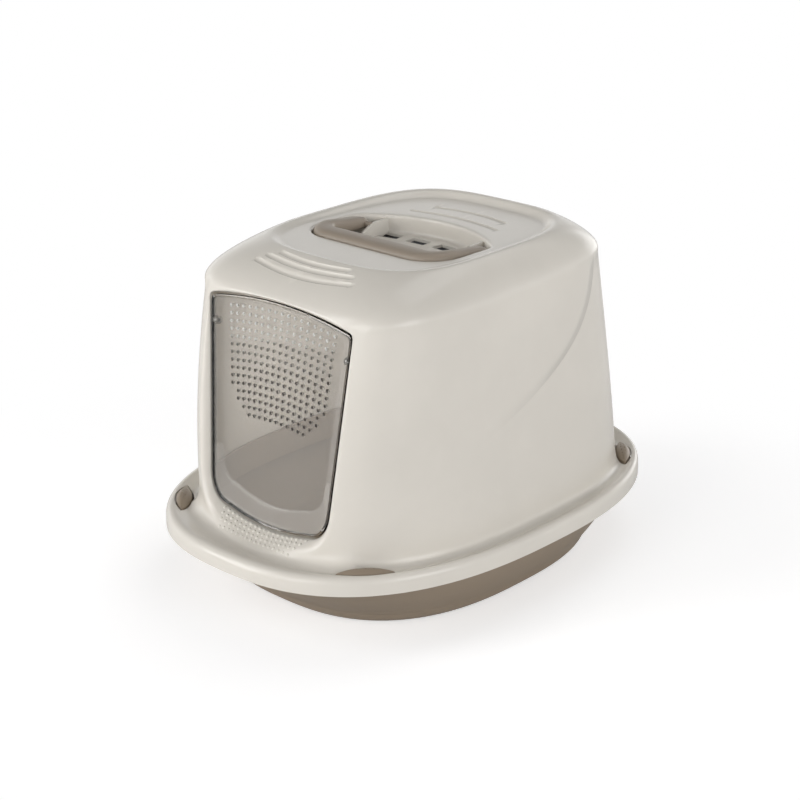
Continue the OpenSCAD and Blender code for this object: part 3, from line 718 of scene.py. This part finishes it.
def makeTray():
    s, w = trayShape, trayShape["wall"]
    topX, topY, high = s["ledgeX"] - s["ledge"], s["ledgeY"] - s["ledge"], trayHigh.z / mm
    square = hoodShape["flangeSquare"]

    def ledge(grow, drop):
        return (topX + grow, -topY - grow, topY + grow, square, high - drop, high - drop)

    sections = [trayFoot(0, -30), trayFoot(0, -3), trayFoot(0)] + [trayFoot(a) for a in (22.5, 45, 67.5)]
    sections += [traySection(t) for t in (0, 0.2, 0.4, 0.6, 0.8, 0.93)]
    sections += [ledge(0.2, 2.4), ledge(0.9, 2.1), ledge(s["ledge"] - 0.5, 2.1), ledge(s["ledge"], 1.7),
                 ledge(s["ledge"], 0.5), ledge(s["ledge"] - 0.5, 0), ledge(-w + 0.6, 0), ledge(-w, 0.5)]
    sections += [traySection(t, -w) for t in (0.9, 0.7, 0.5, 0.3, 0.1)]
    sections += [trayFoot(a, -w, w * 0.6 + 0.4) for a in (67.5, 45, 22.5)]
    sections += [trayFoot(0, -w, w), trayFoot(0, -32, w)]
    tray = skin("tray_shell", [ringOf(section) for section in sections], capFirst=True, capLast=True)
    outward(tray)
    modify(tray, "SUBSURF", levels=1, render_levels=1)
    smooth(tray, 40)
    return tray


guardLow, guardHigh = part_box("litter_guard")
guardShape = {"wall": 2.4, "gap": 2, "seatInset": 3.29, "opening": (204, 174, 60), "openingY": -173}


def makeGuard():
    s = guardShape
    low, high, wall = guardLow.z / mm, guardHigh.z / mm, s["wall"]

    def mouth(z, grow):
        t = (z - trayShape["round"]) / (trayHigh.z / mm - trayShape["round"])
        wide, front, back, square = traySection(t)[:4]
        inset = s["seatInset"] - grow
        return (wide - inset, front + inset, back - inset, square, z, z)

    def upright(z, grow):
        t = max(0, (high - rimHeight - hoodShape["base"]) / (hoodShape["shoulderBack"] - hoodShape["base"]))
        t *= (z - low) / (high - low)
        wide, front, back, square = wallSection(t)[:4]
        inset = hoodShape["wall"] + s["gap"] - grow
        return (wide - inset, front + inset, back - inset, square, z, z)

    def ring(sections, name):
        piece = skin(name, [ringOf(section) for section in sections + sections[:1]])
        outward(piece, weld=0.00001)
        return piece

    flange = ring([upright(low, -wall), mouth(low, 0), mouth(low + 1, 0.3), mouth(low + wall, 0),
                   upright(low + wall, -wall)], "guard_flange")
    wallRing = ring([upright(low + 0.4, 0), upright(high - 0.5, 0), upright(high, -0.6),
                     upright(high, 0.6 - wall), upright(high - 0.5, -wall), upright(low + 0.4, -wall)],
                    "guard_wall")
    cut(wallRing, block(s["opening"], (0, s["openingY"], low + wall + s["opening"][2] / 2)))
    guard = joinAll([flange, wallRing], "litter_guard_ring")
    smooth(guard, 35)
    return guard


tray, guard = makeTray(), makeGuard()
print("tray")


# flap: a clear pan with a raised rim, sloping sides and rows of breathing holes

flapShape = {"rim": 2.4, "slope": 12, "slopeTop": 7, "slopeFoot": 21, "corner": 22, "pan": 3.6, "thick": 2,
             "columns": 17, "rows": 18, "pitchX": 8.6, "pitchZ": 7.4, "hole": 1.25, "mouth": 2,
             "fieldTop": 10, "fieldFoot": -86, "footRise": 26, "footHalf": 62, "fan": 0.0014,
             "counts": (28, 22, 28, 22), "boss": 4.2}


def flapRing(grow, y, growTop=None, growFoot=None, **changes):
    line = flapLine(flapShape["counts"], grow, growTop, growFoot, **changes)
    return [doorPoint(p.x, y, p.y) for p in line]


def makeFlapRim():
    rim, face = flapShape["rim"], doorShape["edge"] / 2
    profile = [(0, face - 0.4), (0, 0), (0, 0.4 - face), (-0.4, -face), (0.4 - rim, -face),
               (-rim, 0.4 - face), (-rim, 0), (-rim, face - 0.4), (0.4 - rim, face), (-0.4, face),
               (0, face - 0.4)]
    piece = skin("flap_rim", [flapRing(grow, y) for grow, y in profile])
    outward(piece, weld=0.00001)
    modify(piece, "SUBSURF", levels=1, render_levels=1)
    bosses = []
    for side in (1, -1):
        inner, outer = side * (doorShape["half"] - 6), side * doorShape["half"]
        bosses.append(rod(flapShape["boss"], (inner, flapY, flapZ), (outer, flapY, flapZ), 28, 0.5))
    return joinAll([piece] + bosses, "flap_rim")


def makeFlapPan():
    s, d = flapShape, doorShape
    inside = {"half": d["half"] - s["slope"], "above": d["above"] - s["slopeTop"],
              "below": d["below"] - s["slopeFoot"], "corner": s["corner"], "sag": d["sag"] + 2}
    deep = s["pan"]
    rings = [flapRing(grow - s["rim"], y) for grow, y in ((0.2, -1.2), (-0.6, -1.2), (-1.4, -0.9))]
    rings += [flapRing(1.2, deep - 2.4, **inside), flapRing(0.3, deep - 2.05, **inside),
              flapRing(-0.8, deep - 2, **inside), flapRing(-3, deep - 2, **inside)]
    pan = skin("flap_pan", rings, capLast=True)
    outward(pan)
    if max(p.normal.y for p in pan.data.polygons) > 0.5:
        pan.data.flip_normals()
    modify(pan, "SUBSURF", levels=1, render_levels=1)
    modify(pan, "SOLIDIFY", thickness=s["thick"] * mm, offset=-1)
    return cut(pan, makeHoleCutter(deep - 2))


def makeDrill():                  # flared towards the front, then straight
    s = flapShape
    bpy.ops.mesh.primitive_cone_add(vertices=14, radius1=s["mouth"] * mm, radius2=s["hole"] * mm,
                                    depth=2 * mm, location=(0, 0, 0.2 * mm))
    drill = bpy.context.object
    bpy.ops.object.transform_apply(location=True, rotation=True, scale=True)
    edit(drill, "FACE")
    chooseFaces(lambda f: f.normal.z > 0.9)
    bpy.ops.mesh.extrude_region_move(TRANSFORM_OT_translate={"value": (0, 0, 4 * mm)})
    doneEditing()
    outward(drill)
    drill.rotation_euler = (-math.pi / 2 - math.radians(doorShape["tilt"]), 0, 0)
    return drill


def makeHoleCutter(level):        # the drill, copied to every hole
    s, d = flapShape, doorShape
    drills, half = [], (s["columns"] - 1) // 2
    for c in range(-half, half + 1):
        wide = c * s["pitchX"]
        for r in range(s["rows"]):
            z = d["above"] - s["fieldTop"] + d["arch"] * (1 - (wide / d["half"]) ** 2) - r * s["pitchZ"]
            x = wide * (1 + s["fan"] * (z - d["above"]))
            if z < s["fieldFoot"] + s["footRise"] * (x / s["footHalf"]) ** 4:
                continue
            drill = copyOf(drills[0], "drill") if drills else makeDrill()
            drill.location = doorPoint(x, level, z)
            drills.append(drill)
    joined = joinAll(drills, "drills")
    bpy.ops.object.transform_apply(location=True, rotation=True, scale=True)
    return joined


rim, pan = makeFlapRim(), makeFlapPan()
pins = {}
for side, name in ((-1, "flap_pin_left"), (1, "flap_pin_right")):
    low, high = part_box(name)
    radius = (high.z - low.z) / 2 / mm
    pins[name] = rod(radius, (low.x / mm, flapY, flapZ), (high.x / mm, flapY, flapZ), 32, 0.4)
print("flap", len(pan.data.polygons))


# carry handle, swept round three sides of its pocket

handleShape = {"bar": 26.5, "thick": 15, "proud": 5, "arm": 17, "armThick": 12, "gap": 1.6, "sides": 20,
               "trunnion": 3}


def makeHandle():
    s, p = handleShape, pocketShape
    barZ = dishFloor + s["proud"] - s["thick"] / 2
    outer, front = p["corner"] - s["gap"], p["centre"] - p["front"]
    armX = p["half"] - s["gap"] - s["arm"] / 2
    cornerX, cornerY = p["half"] - p["corner"], front + p["corner"]
    line = [(armX, foldY + 5.2, foldZ, s["arm"] - 9, 4), (armX, foldY + 4.6, foldZ, s["arm"] - 5, 8),
            (armX, foldY + 2.4, foldZ, s["arm"] - 2, 11)]
    for i in range(6):
        t = i / 6
        line.append((armX, mix(foldY, cornerY, t), mix(foldZ, barZ, t), s["arm"],
                     mix(s["armThick"], s["thick"], t)))
    for i in range(13):
        a, wide = math.pi / 2 * i / 12, mix(s["arm"], s["bar"], i / 12)
        r = outer - wide / 2
        line.append((cornerX + r * math.cos(a), cornerY - r * math.sin(a), barZ, wide, s["thick"]))
    barY = front + s["gap"] + s["bar"] / 2
    line += [(cornerX * (1 - i / 5), barY, barZ, s["bar"], s["thick"]) for i in range(1, 6)]
    line += [(-x, y, z, w, t) for x, y, z, w, t in line[-2::-1]]
    loops = []
    for k, (x, y, z, wide, thick) in enumerate(line):
        a, b = line[max(0, k - 1)], line[min(len(line) - 1, k + 1)]
        way = Vector((b[0] - a[0], b[1] - a[1], 0)).normalized()
        loop = []
        for i in range(s["sides"]):
            turn = 2 * math.pi * i / s["sides"]
            c, d = math.cos(turn), math.sin(turn)
            side = math.copysign(abs(c) ** 0.75, c) * wide / 2
            up = math.copysign(abs(d) ** 0.75, d) * thick / 2
            loop.append(Vector((x - way.y * side, y + way.x * side, z + up)) * mm)
        loops.append(loop)
    bail = skin("carry_bail", loops, capFirst=True, capLast=True)
    outward(bail)
    modify(bail, "SUBSURF", levels=1, render_levels=1)
    parts = [bail]
    for side in (1, -1):
        parts.append(rod(s["trunnion"], (side * (webShape["inner"] + 1.5), foldY, foldZ),
                         (side * (p["half"] + 2.2), foldY, foldZ), 32, 0.4))
    return joinAll(parts, "carry_bail")


handle = makeHandle()


# latches: a low pointed dome with dimples, on a pivot bar with a hook under the rim

def lensLoop(share, lift):         # one outline of the dome, which lies along the sloping flange
    s, steps = latchShape, 30
    length, bulge = s["length"] * share, s["width"] * share / 2
    radius = (length * length / 4 + bulge * bulge) / (2 * bulge)
    end = math.asin(length / 2 / radius)
    loop = []
    for way in (1, -1):
        for i in range(steps):
            a = mix(-end, end, (i + 0.5) / steps)
            x, y = way * radius * math.sin(a), way * (radius * math.cos(a) - radius + bulge)
            loop.append(Vector((x, y, s["seat"] + s["slant"] * y + lift)) * mm)
    return loop


def makeLatch(name, place, turn):
    s = latchShape
    foot = [Vector((p.x, p.y, s["low"] * mm)) for p in lensLoop(0.98, 0)]
    loops = [foot, lensLoop(1, -2), lensLoop(1, -0.5)]
    loops += [lensLoop(share, s["rise"] * (1 - share ** 2.4)) for share in s["rings"]]
    dome = skin(name, loops, capFirst=True, capLast=True)
    outward(dome)
    spots = []
    for row, count in s["rows"]:
        for i in range(count):
            along = (i - (count - 1) / 2) * s["pitch"]
            share = math.hypot(along / s["length"], row / s["width"]) * 2
            height = s["seat"] + s["slant"] * row + s["rise"] * (1 - share ** 2.4)
            spots.append(Vector((along, row, height + s["proud"])) * mm)
    cut(dome, balls(s["dimple"] * mm, spots, 14, 10, "dimples"))
    parts = [dome]
    wide, out, low, thick = 2 * s["legHalf"], s["legOut"], s["low"], s["legThick"]
    for size, y, z, bevel in (((s["length"] - 8, 4, 4), 0, s["axisHeight"], 0.5),          # pivot bar
                              ((wide, thick, low - 0.4), out - thick / 2, low / 2 + 0.2, 0.4),      # leg
                              ((wide, out, 2), out / 2, low - 0.5, 0.4),                   # shelf to the leg
                              ((wide, 4, 1.8), out - 2, 1.3, 0.4)):                        # hook
        parts.append(block(size, (0, y, z), 0, bevel, upright=False))
    reach = s["length"] / 2 + 5.2
    parts.append(rod(s["pin"], (-reach, 0, s["axisHeight"]), (reach, 0, s["axisHeight"]), 24, 0.3))
    latch = joinAll(parts, name + "_dome")
    return settle(latch, place, turn)


latches = {name: makeLatch(name, place, turn) for name, place, turn in latchSpots()}
print("handle and latches")


# charcoal pad and its hinged cover under the roof

coverShape = {"wall": 2.4, "bars": 9, "slot": 10, "pin": 2.5, "play": 0.8}


def makeCover():
    s = coverShape
    low, high = coverLow / mm, coverHigh / mm
    inner = (padHigh.x - padLow.x) / 2 / mm + s["play"]
    wide = inner + s["wall"]
    y0, y1 = padLow.y / mm - s["play"] - s["wall"], padHigh.y / mm + s["play"] + s["wall"]
    z0, z1 = low.z, high.z
    middle = (y0 + y1) / 2
    cover = block((2 * wide, y1 - y0, z1 - z0), (0, middle, (z0 + z1) / 2), 0, 1.5)
    cut(cover, block((2 * inner, y1 - y0 - 2 * s["wall"], 20), (0, middle, z0 + s["wall"] + 10), 0, 1))
    pitch = (padHigh.x - padLow.x) / mm / s["bars"]
    long = (padHigh.y - padLow.y) / mm - 16
    slots = [block((s["slot"], long, 8), ((i - 4) * pitch, middle, z0), 0, 1.6) for i in range(s["bars"])]
    cut(cover, joinAll(slots, "cover_slots"))
    pin = rod(s["pin"], (low.x, coverY, coverZ), (high.x, coverY, coverZ), 32, 0.4)
    return joinAll([cover, pin], "filter_cover_grille")


def makePad():
    low, high = padLow / mm, padHigh / mm
    pad = block(high - low, (low + high) / 2, 0, 1.2, upright=False)
    edit(pad)
    bpy.ops.mesh.select_all(action="SELECT")
    bpy.ops.mesh.subdivide(number_cuts=5)
    doneEditing()
    pad.name = "filter_foam"
    return pad


cover, pad = makeCover(), makePad()
print("filter")


# finishes: sockets that can be added up, and moulded plastics made with them

class Wire:                       # one value that runs through a material
    def __init__(self, finish, socket):
        self.finish, self.socket = finish, socket

    def sum(self, how, *others):
        return self.finish.node("Math", {"operation": how}, {i: v for i, v in enumerate((self,) + others)})

    def __add__(self, other):
        return self.sum("ADD", other)

    def __radd__(self, other):
        return self.sum("ADD", other)

    def __sub__(self, other):
        return self.sum("SUBTRACT", other)

    def __rsub__(self, other):
        return self.finish.node("Math", {"operation": "SUBTRACT"}, {0: other, 1: self})

    def __mul__(self, other):
        return self.sum("MULTIPLY", other)

    def __truediv__(self, other):
        return self.sum("DIVIDE", other)

    def __pow__(self, other):
        return self.sum("POWER", other)

    def size(self):
        return self.sum("ABSOLUTE")

    def held(self):               # kept between 0 and 1
        return self.finish.node("Clamp", {}, {"Value": self})


class Finish:                     # a material and the tools to wire it
    def __init__(self, name):
        self.material = bpy.data.materials.new(name)
        self.material.use_nodes = True
        self.tree = self.material.node_tree
        self.tree.nodes.clear()

    def node(self, kind, settings, sockets, out=0):
        made = self.tree.nodes.new("ShaderNode" + kind)
        for key, value in settings.items():
            setattr(made, key, value)
        for key, value in sockets.items():
            if isinstance(value, Wire):
                self.tree.links.new(value.socket, made.inputs[key])
            elif isinstance(value, (tuple, list)) and len(made.inputs[key].default_value) == 4:
                made.inputs[key].default_value = (*value[:3], 1)
            else:
                made.inputs[key].default_value = value
        return Wire(self, made.outputs[out])

    def place(self):
        return self.node("TexCoord", {}, {}, "Object")

    def noise(self, scale, detail=3, rough=0.5):
        sockets = {"Vector": self.place(), "Scale": scale, "Detail": detail, "Roughness": rough}
        return self.node("TexNoise", {}, sockets, "Fac")

    def ramp(self, value, low, high, bottom=0.0, top=1.0):
        limits = {"Value": value, "From Min": low, "From Max": high, "To Min": bottom, "To Max": top}
        return self.node("MapRange", {"interpolation_type": "SMOOTHSTEP"}, limits)

    def tint(self, share, one, other):
        made = self.tree.nodes.new("ShaderNodeMix")
        made.data_type = "RGBA"
        for socket, value in ((made.inputs[0], share), (made.inputs[6], one), (made.inputs[7], other)):
            if isinstance(value, Wire):
                self.tree.links.new(value.socket, socket)
            else:
                socket.default_value = value if isinstance(value, (int, float)) else (*value[:3], 1)
        return Wire(self, made.outputs[2])

    def bump(self, height, depth, under=None):
        sockets = {"Height": height, "Distance": depth, "Strength": 1.0}
        if under:
            sockets["Normal"] = under
        return self.node("Bump", {}, sockets)

    def output(self, shader):
        out = self.tree.nodes.new("ShaderNodeOutputMaterial")
        self.tree.links.new(shader.socket, out.inputs["Surface"])
        return self.material


def fromScreen(*screen):          # a screen colour, 0 to 255, made linear
    return tuple(c / 255 / 12.92 if c <= 10 else ((c / 255 + 0.055) / 1.055) ** 2.4 for c in screen)


creaseShape = {"bend": (-1.402, 13.676, -41.31, 42.01), "wide": 0.011, "deep": 0.0032, "low": (0.158, 0.225),
               "high": (0.292, 0.312), "inside": (0.118, 0.13)}


def crease(finish):               # a soft fold that sweeps down each side from the rear shoulder, in metres
    s = creaseShape
    x, y, z = (finish.node("SeparateXYZ", {}, {"Vector": finish.place()}, out) for out in ("X", "Y", "Z"))
    a, b, c, d = s["bend"]
    line = ((z * d + c) * z + b) * z + a
    slope = (z * (3 * d) + 2 * c) * z + b
    beyond = (y - line) / (slope * slope + 1) ** 0.5
    share = (beyond / s["wide"] + 1).held()
    fade = finish.ramp(z, *s["low"]) * (1 - finish.ramp(z, *s["high"])) * finish.ramp(x.size(), *s["inside"])
    return share * share * fade * -s["deep"]


def mouldedPlastic(name, colour, rough=0.34, grain=0.00006, grainScale=900, wear=0.05, folded=False,
                   bend=1.46):
    finish = Finish(name)
    cloud = finish.noise(9, 4, 0.55)
    fine = finish.noise(grainScale, 2, 0.6)
    scuff = finish.noise(60, 5, 0.7)
    edges = finish.node("NewGeometry", {}, {}, "Pointiness")
    worn = finish.ramp(edges, 0.52, 0.6)
    lighter = tuple(min(1, c * 1.06 + 0.01) for c in colour)
    darker = tuple(c * 0.955 for c in colour)
    tone = finish.tint(finish.ramp(cloud, 0.3, 0.7), darker, colour)
    tone = finish.tint(worn * wear * 8, tone, lighter)
    gloss = (rough + (cloud - 0.5) * 0.08 + (scuff - 0.5) * 0.06 + worn * 0.05).held()
    normal = finish.bump(crease(finish), 1.0) if folded else None
    normal = finish.bump(fine, grain, finish.bump(scuff, grain * 2, normal))
    shader = finish.node("BsdfPrincipled", {}, {"Base Color": tone, "Roughness": gloss, "Normal": normal,
                                                "IOR": bend})
    return finish.output(shader)


finishes = {
    "cream": mouldedPlastic("cream_plastic", fromScreen(222, 217, 208), rough=0.33),
    "hood": mouldedPlastic("hood_plastic", fromScreen(222, 217, 208), rough=0.2, folded=True),
    "taupe": mouldedPlastic("taupe_plastic", fromScreen(146, 132, 115), rough=0.42),
    "handle": mouldedPlastic("handle_plastic", fromScreen(156, 144, 130), rough=0.42),
    "grey": mouldedPlastic("grey_plastic", fromScreen(176, 174, 170), rough=0.4),
    "pad": mouldedPlastic("charcoal_pad", fromScreen(70, 70, 74), rough=0.9, grain=0.0008, grainScale=700),
}


def clearPlastic(name, milk):     # a clear sheet with a pale, slightly milky body
    finish = Finish(name)
    cloud = finish.noise(12, 3)
    gloss = (0.07 + (cloud - 0.5) * 0.04).held()
    normal = finish.bump(finish.noise(25, 2), 0.00012)
    body = finish.node("BsdfPrincipled", {}, {
        "Base Color": finish.tint(cloud, fromScreen(209, 205, 198), fromScreen(216, 212, 206)),
        "Roughness": gloss, "Normal": normal, "IOR": 1.5})
    through = finish.node("BsdfTransparent", {}, {"Color": (0.91, 0.905, 0.9)})
    facing = finish.node("LayerWeight", {}, {"Blend": 0.5, "Normal": normal}, "Facing")
    share = (milk + facing ** 3 * 0.8).held()
    return finish.output(finish.node("MixShader", {}, {0: share, 1: through, 2: body}))


def clearEdge():                  # the flap's thick rim, which bends what is behind it
    finish = Finish("clear_edge")
    cloud = finish.noise(12, 3)
    gloss = (0.04 + (cloud - 0.5) * 0.03).held()
    shader = finish.node("BsdfPrincipled", {}, {
        "Base Color": finish.tint(cloud, fromScreen(225, 223, 219), fromScreen(238, 236, 233)),
        "Roughness": gloss, "Normal": finish.bump(finish.noise(25, 2), 0.0001), "IOR": 1.49,
        "Transmission Weight": 1.0})
    return finish.output(shader)


finishes["clear"] = clearPlastic("clear_plastic", 0.17)
# a milkier copy of the clear sheet, a painted reflection of the bright floor on the flap's sloping foot
finishes["footPaintedReflection"] = clearPlastic("clear_plastic_painted_reflection", 0.27)
finishes["edge"] = clearEdge()
# near-black painted shade for the outer side of the flap's clear rim
finishes["edgeDark"] = mouldedPlastic("clear_edge_painted_shade", fromScreen(12, 12, 13), rough=0.55,
                                      grain=0.00001, bend=1.15)
# hole wall colours: near-white is a painted highlight, grey and dark grey are painted shade
for key, name, colour in (("holePaintedHighlight", "hole_wall", (250, 250, 249)),
                          ("holePaintedHalfShade", "hole_wall_painted_half_shade", (158, 156, 152)),
                          ("holePaintedShade", "hole_wall_painted_shade", (120, 117, 113))):
    finishes[key] = mouldedPlastic(name, fromScreen(*colour), rough=0.3, grain=0.00001)


# where the painted highlight, painted shade and painted reflection fall on the flap pan
panLook = {"half": 76, "foot": -92, "top": 27, "arch": 10, "slant": 0.12, "paintedHighlightFrom": -4, "paintedHalfShadeFrom": -26,
           "paintedReflectionTo": -120}


def paintPan():                   # hole walls: a painted highlight in the upper rows and painted shade lower down; a milkier foot band as a painted reflection
    for key in ("holePaintedHighlight", "holePaintedHalfShade", "holePaintedShade", "footPaintedReflection"):
        pan.data.materials.append(finishes[key])
    k = panLook
    across = (doorPoint(0, 1, 0) - doorPoint(0, 0, 0)).normalized()
    for face in pan.data.polygons:
        spot = (face.center - Vector(hinge["pos_m"])) / mm
        lean = abs(face.normal.dot(across))
        top = k["top"] - k["arch"] * (spot.x / 90) ** 2
        if lean < 0.95 and abs(spot.x) < k["half"] and k["foot"] < spot.z < top:
            # upper rows get the painted highlight, lower rows the grey and dark painted shade
            fall = spot.z - k["slant"] * spot.x
            face.material_index = 1 if fall > k["paintedHighlightFrom"] else 2 if fall > k["paintedHalfShadeFrom"] else 3
        # the foot's sloping band takes the milkier sheet, a painted reflection
        elif lean < 0.9985 and spot.z < k["paintedReflectionTo"]:
            face.material_index = 4


def dress(piece, finish, body):
    piece.data.materials.clear()
    piece.data.materials.append(finishes[finish])
    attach(piece, body)
    return piece


dress(hood, "hood", "hood")
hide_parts("hood")
smooth(hood, 40)
for piece in small:
    dress(piece, "cream", "hood")
    smooth(piece, 50)
dress(tray, "taupe", "tray")
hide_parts("tray")
dress(guard, "taupe", "tray")
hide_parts("litter_guard")
dress(pan, "clear", "flap")
dress(rim, "edge", "flap")
rim.data.materials.append(finishes["edgeDark"])
for face in rim.data.polygons:    # the clear sheet's outer side gets a near-black painted shade, for the dark gap round the flap
    if face.index < 8 * sum(flapShape["counts"]):
        face.material_index = 1
paintPan()
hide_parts("door_flap")
for name, pin in pins.items():
    pin.name = name + "_rod"
    dress(pin, "grey", "flap")
    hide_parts(name)
dress(handle, "handle", "handle")
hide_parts("carry_handle")
for name, latch in latches.items():
    dress(latch, "taupe", name)
    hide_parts(name)
    smooth(latch, 32)
dress(cover, "cream", "filter_tray")
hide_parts("filter_cover")
dress(pad, "pad", "filter_tray")
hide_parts("filter_pad")
for piece, angle in ((pan, 30), (rim, 40), (handle, 50), (cover, 30), (pad, 60),
                     *((pin, 30) for pin in pins.values())):
    smooth(piece, angle)

print("finishes")


# camera, light and floor

view = {"azimuth": 42.74, "elevation": 20.88, "distance": 1.83, "lens": 82.45,
        "aim": (-0.0004, -0.0144, 0.16)}


def makeCamera():
    turn, rise = math.radians(view["azimuth"]), math.radians(view["elevation"])
    back = Vector((math.sin(turn) * math.cos(rise), -math.cos(turn) * math.cos(rise), math.sin(rise)))
    bpy.ops.object.camera_add(location=Vector(view["aim"]) + back * view["distance"],
                              rotation=back.to_track_quat("Z", "Y").to_euler())
    camera = bpy.context.object
    camera.data.lens = view["lens"]
    camera.data.clip_end = 30
    bpy.context.scene.camera = camera


makeCamera()

lamps = {                         # place in metres, size across, watts
    "low left": ((-1.3, -2.0, 0.5), 1.2, 18),
    "high left": ((-1.3, -2.0, 1.8), 1.2, 14),
    "front": ((0.2, -2.4, 0.9), 1.2, 9),
    "right": ((2.3, -0.2, 0.8), 1.3, 16),
    "above": ((0, 1.2, 2.2), 1.4, 8),
    "behind": ((0, 2.4, 0.7), 1.3, 10),
}
sky = {"horizon": 1.15, "zenith": 0.12, "from": 0.15, "to": 0.6}


def makeLamps():
    for name, (place, across, power) in lamps.items():
        bpy.ops.object.light_add(type="AREA", location=place)
        lamp = bpy.context.object
        lamp.name = name
        lamp.data.shape = "SQUARE"
        lamp.data.size = across
        lamp.data.energy = power
        lamp.rotation_euler = (Vector(place) - Vector((0, 0, 0.15))).to_track_quat("Z", "Y").to_euler()


makeLamps()


cabinGlow = {"place": (0, -0.13, 0.17), "across": 0.14, "power": 0.32}


def makeCabinGlow():              # the daylight that falls in past the flap, sent to the back of the cabin
    bpy.ops.object.light_add(type="AREA", location=cabinGlow["place"], rotation=(math.pi / 2, 0, 0))
    lamp = bpy.context.object
    lamp.name = "cabin glow"
    lamp.data.energy, lamp.data.size = cabinGlow["power"], cabinGlow["across"]
    lamp.visible_camera = lamp.visible_glossy = lamp.visible_transmission = False


makeCabinGlow()


def makeWorld():                  # bright round the horizon and dim overhead; the camera sees plain white
    world = bpy.data.worlds.new("studio")
    bpy.context.scene.world = world
    world.use_nodes = True
    tree = world.node_tree
    tree.nodes.clear()

    def add(kind, values, links):
        made = tree.nodes.new("ShaderNode" + kind)
        for key, value in values.items():
            made.inputs[key].default_value = value
        for key, socket in links.items():
            tree.links.new(socket, made.inputs[key])
        return made

    place = add("TexCoord", {}, {}).outputs["Generated"]
    height = add("SeparateXYZ", {}, {0: place}).outputs["Z"]
    glow = add("MapRange", {"From Min": sky["from"], "From Max": sky["to"], "To Min": sky["horizon"],
                            "To Max": sky["zenith"]}, {"Value": height})
    glow.interpolation_type = "SMOOTHSTEP"
    soft = add("Background", {"Color": (1, 1, 1, 1)}, {"Strength": glow.outputs[0]})
    white = add("Background", {"Color": (1, 1, 1, 1)}, {})
    seen = add("LightPath", {}, {})
    most = add("Math", {}, {0: seen.outputs["Is Camera Ray"], 1: seen.outputs["Is Transmission Ray"]})
    most.operation = "MAXIMUM"
    blend = add("MixShader", {}, {0: most.outputs[0], 1: soft.outputs[0], 2: white.outputs[0]})
    add("OutputWorld", {}, {"Surface": blend.outputs[0]})


makeWorld()


floorLook = {"across": 14, "lift": 0.49, "shadowEnd": 0.34, "whiteFrom": 0.62}


def makeFloor():                  # white wherever the camera sees it, apart from the shadow round the tray
    bpy.ops.mesh.primitive_plane_add(size=floorLook["across"], location=(0, 0, cadLow[2]))
    floor = bpy.context.object
    floor.name = "floor"
    finish = Finish("floor")
    seen = finish.node("LightPath", {}, {}, "Is Camera Ray")
    glimpsed = finish.node("LightPath", {}, {}, "Is Transmission Ray")
    seen = seen.sum("MAXIMUM", glimpsed)
    away = finish.node("VectorMath", {"operation": "LENGTH"}, {0: finish.place()}, "Value")
    pale = finish.node("BsdfDiffuse", {}, {"Color": (0.8, 0.795, 0.8)})
    lit = finish.node("Emission", {}, {"Color": (1, 1, 1), "Strength": seen * floorLook["lift"]})
    both = finish.node("AddShader", {}, {0: pale, 1: lit})
    white = finish.node("Emission", {}, {"Color": (1, 1, 1), "Strength": 1.0})
    share = finish.ramp(away, floorLook["shadowEnd"], floorLook["whiteFrom"]) * seen
    floor.data.materials.append(finish.output(finish.node("MixShader", {}, {0: share, 1: both, 2: white})))


makeFloor()

bpy.context.scene.view_settings.view_transform = "Standard"
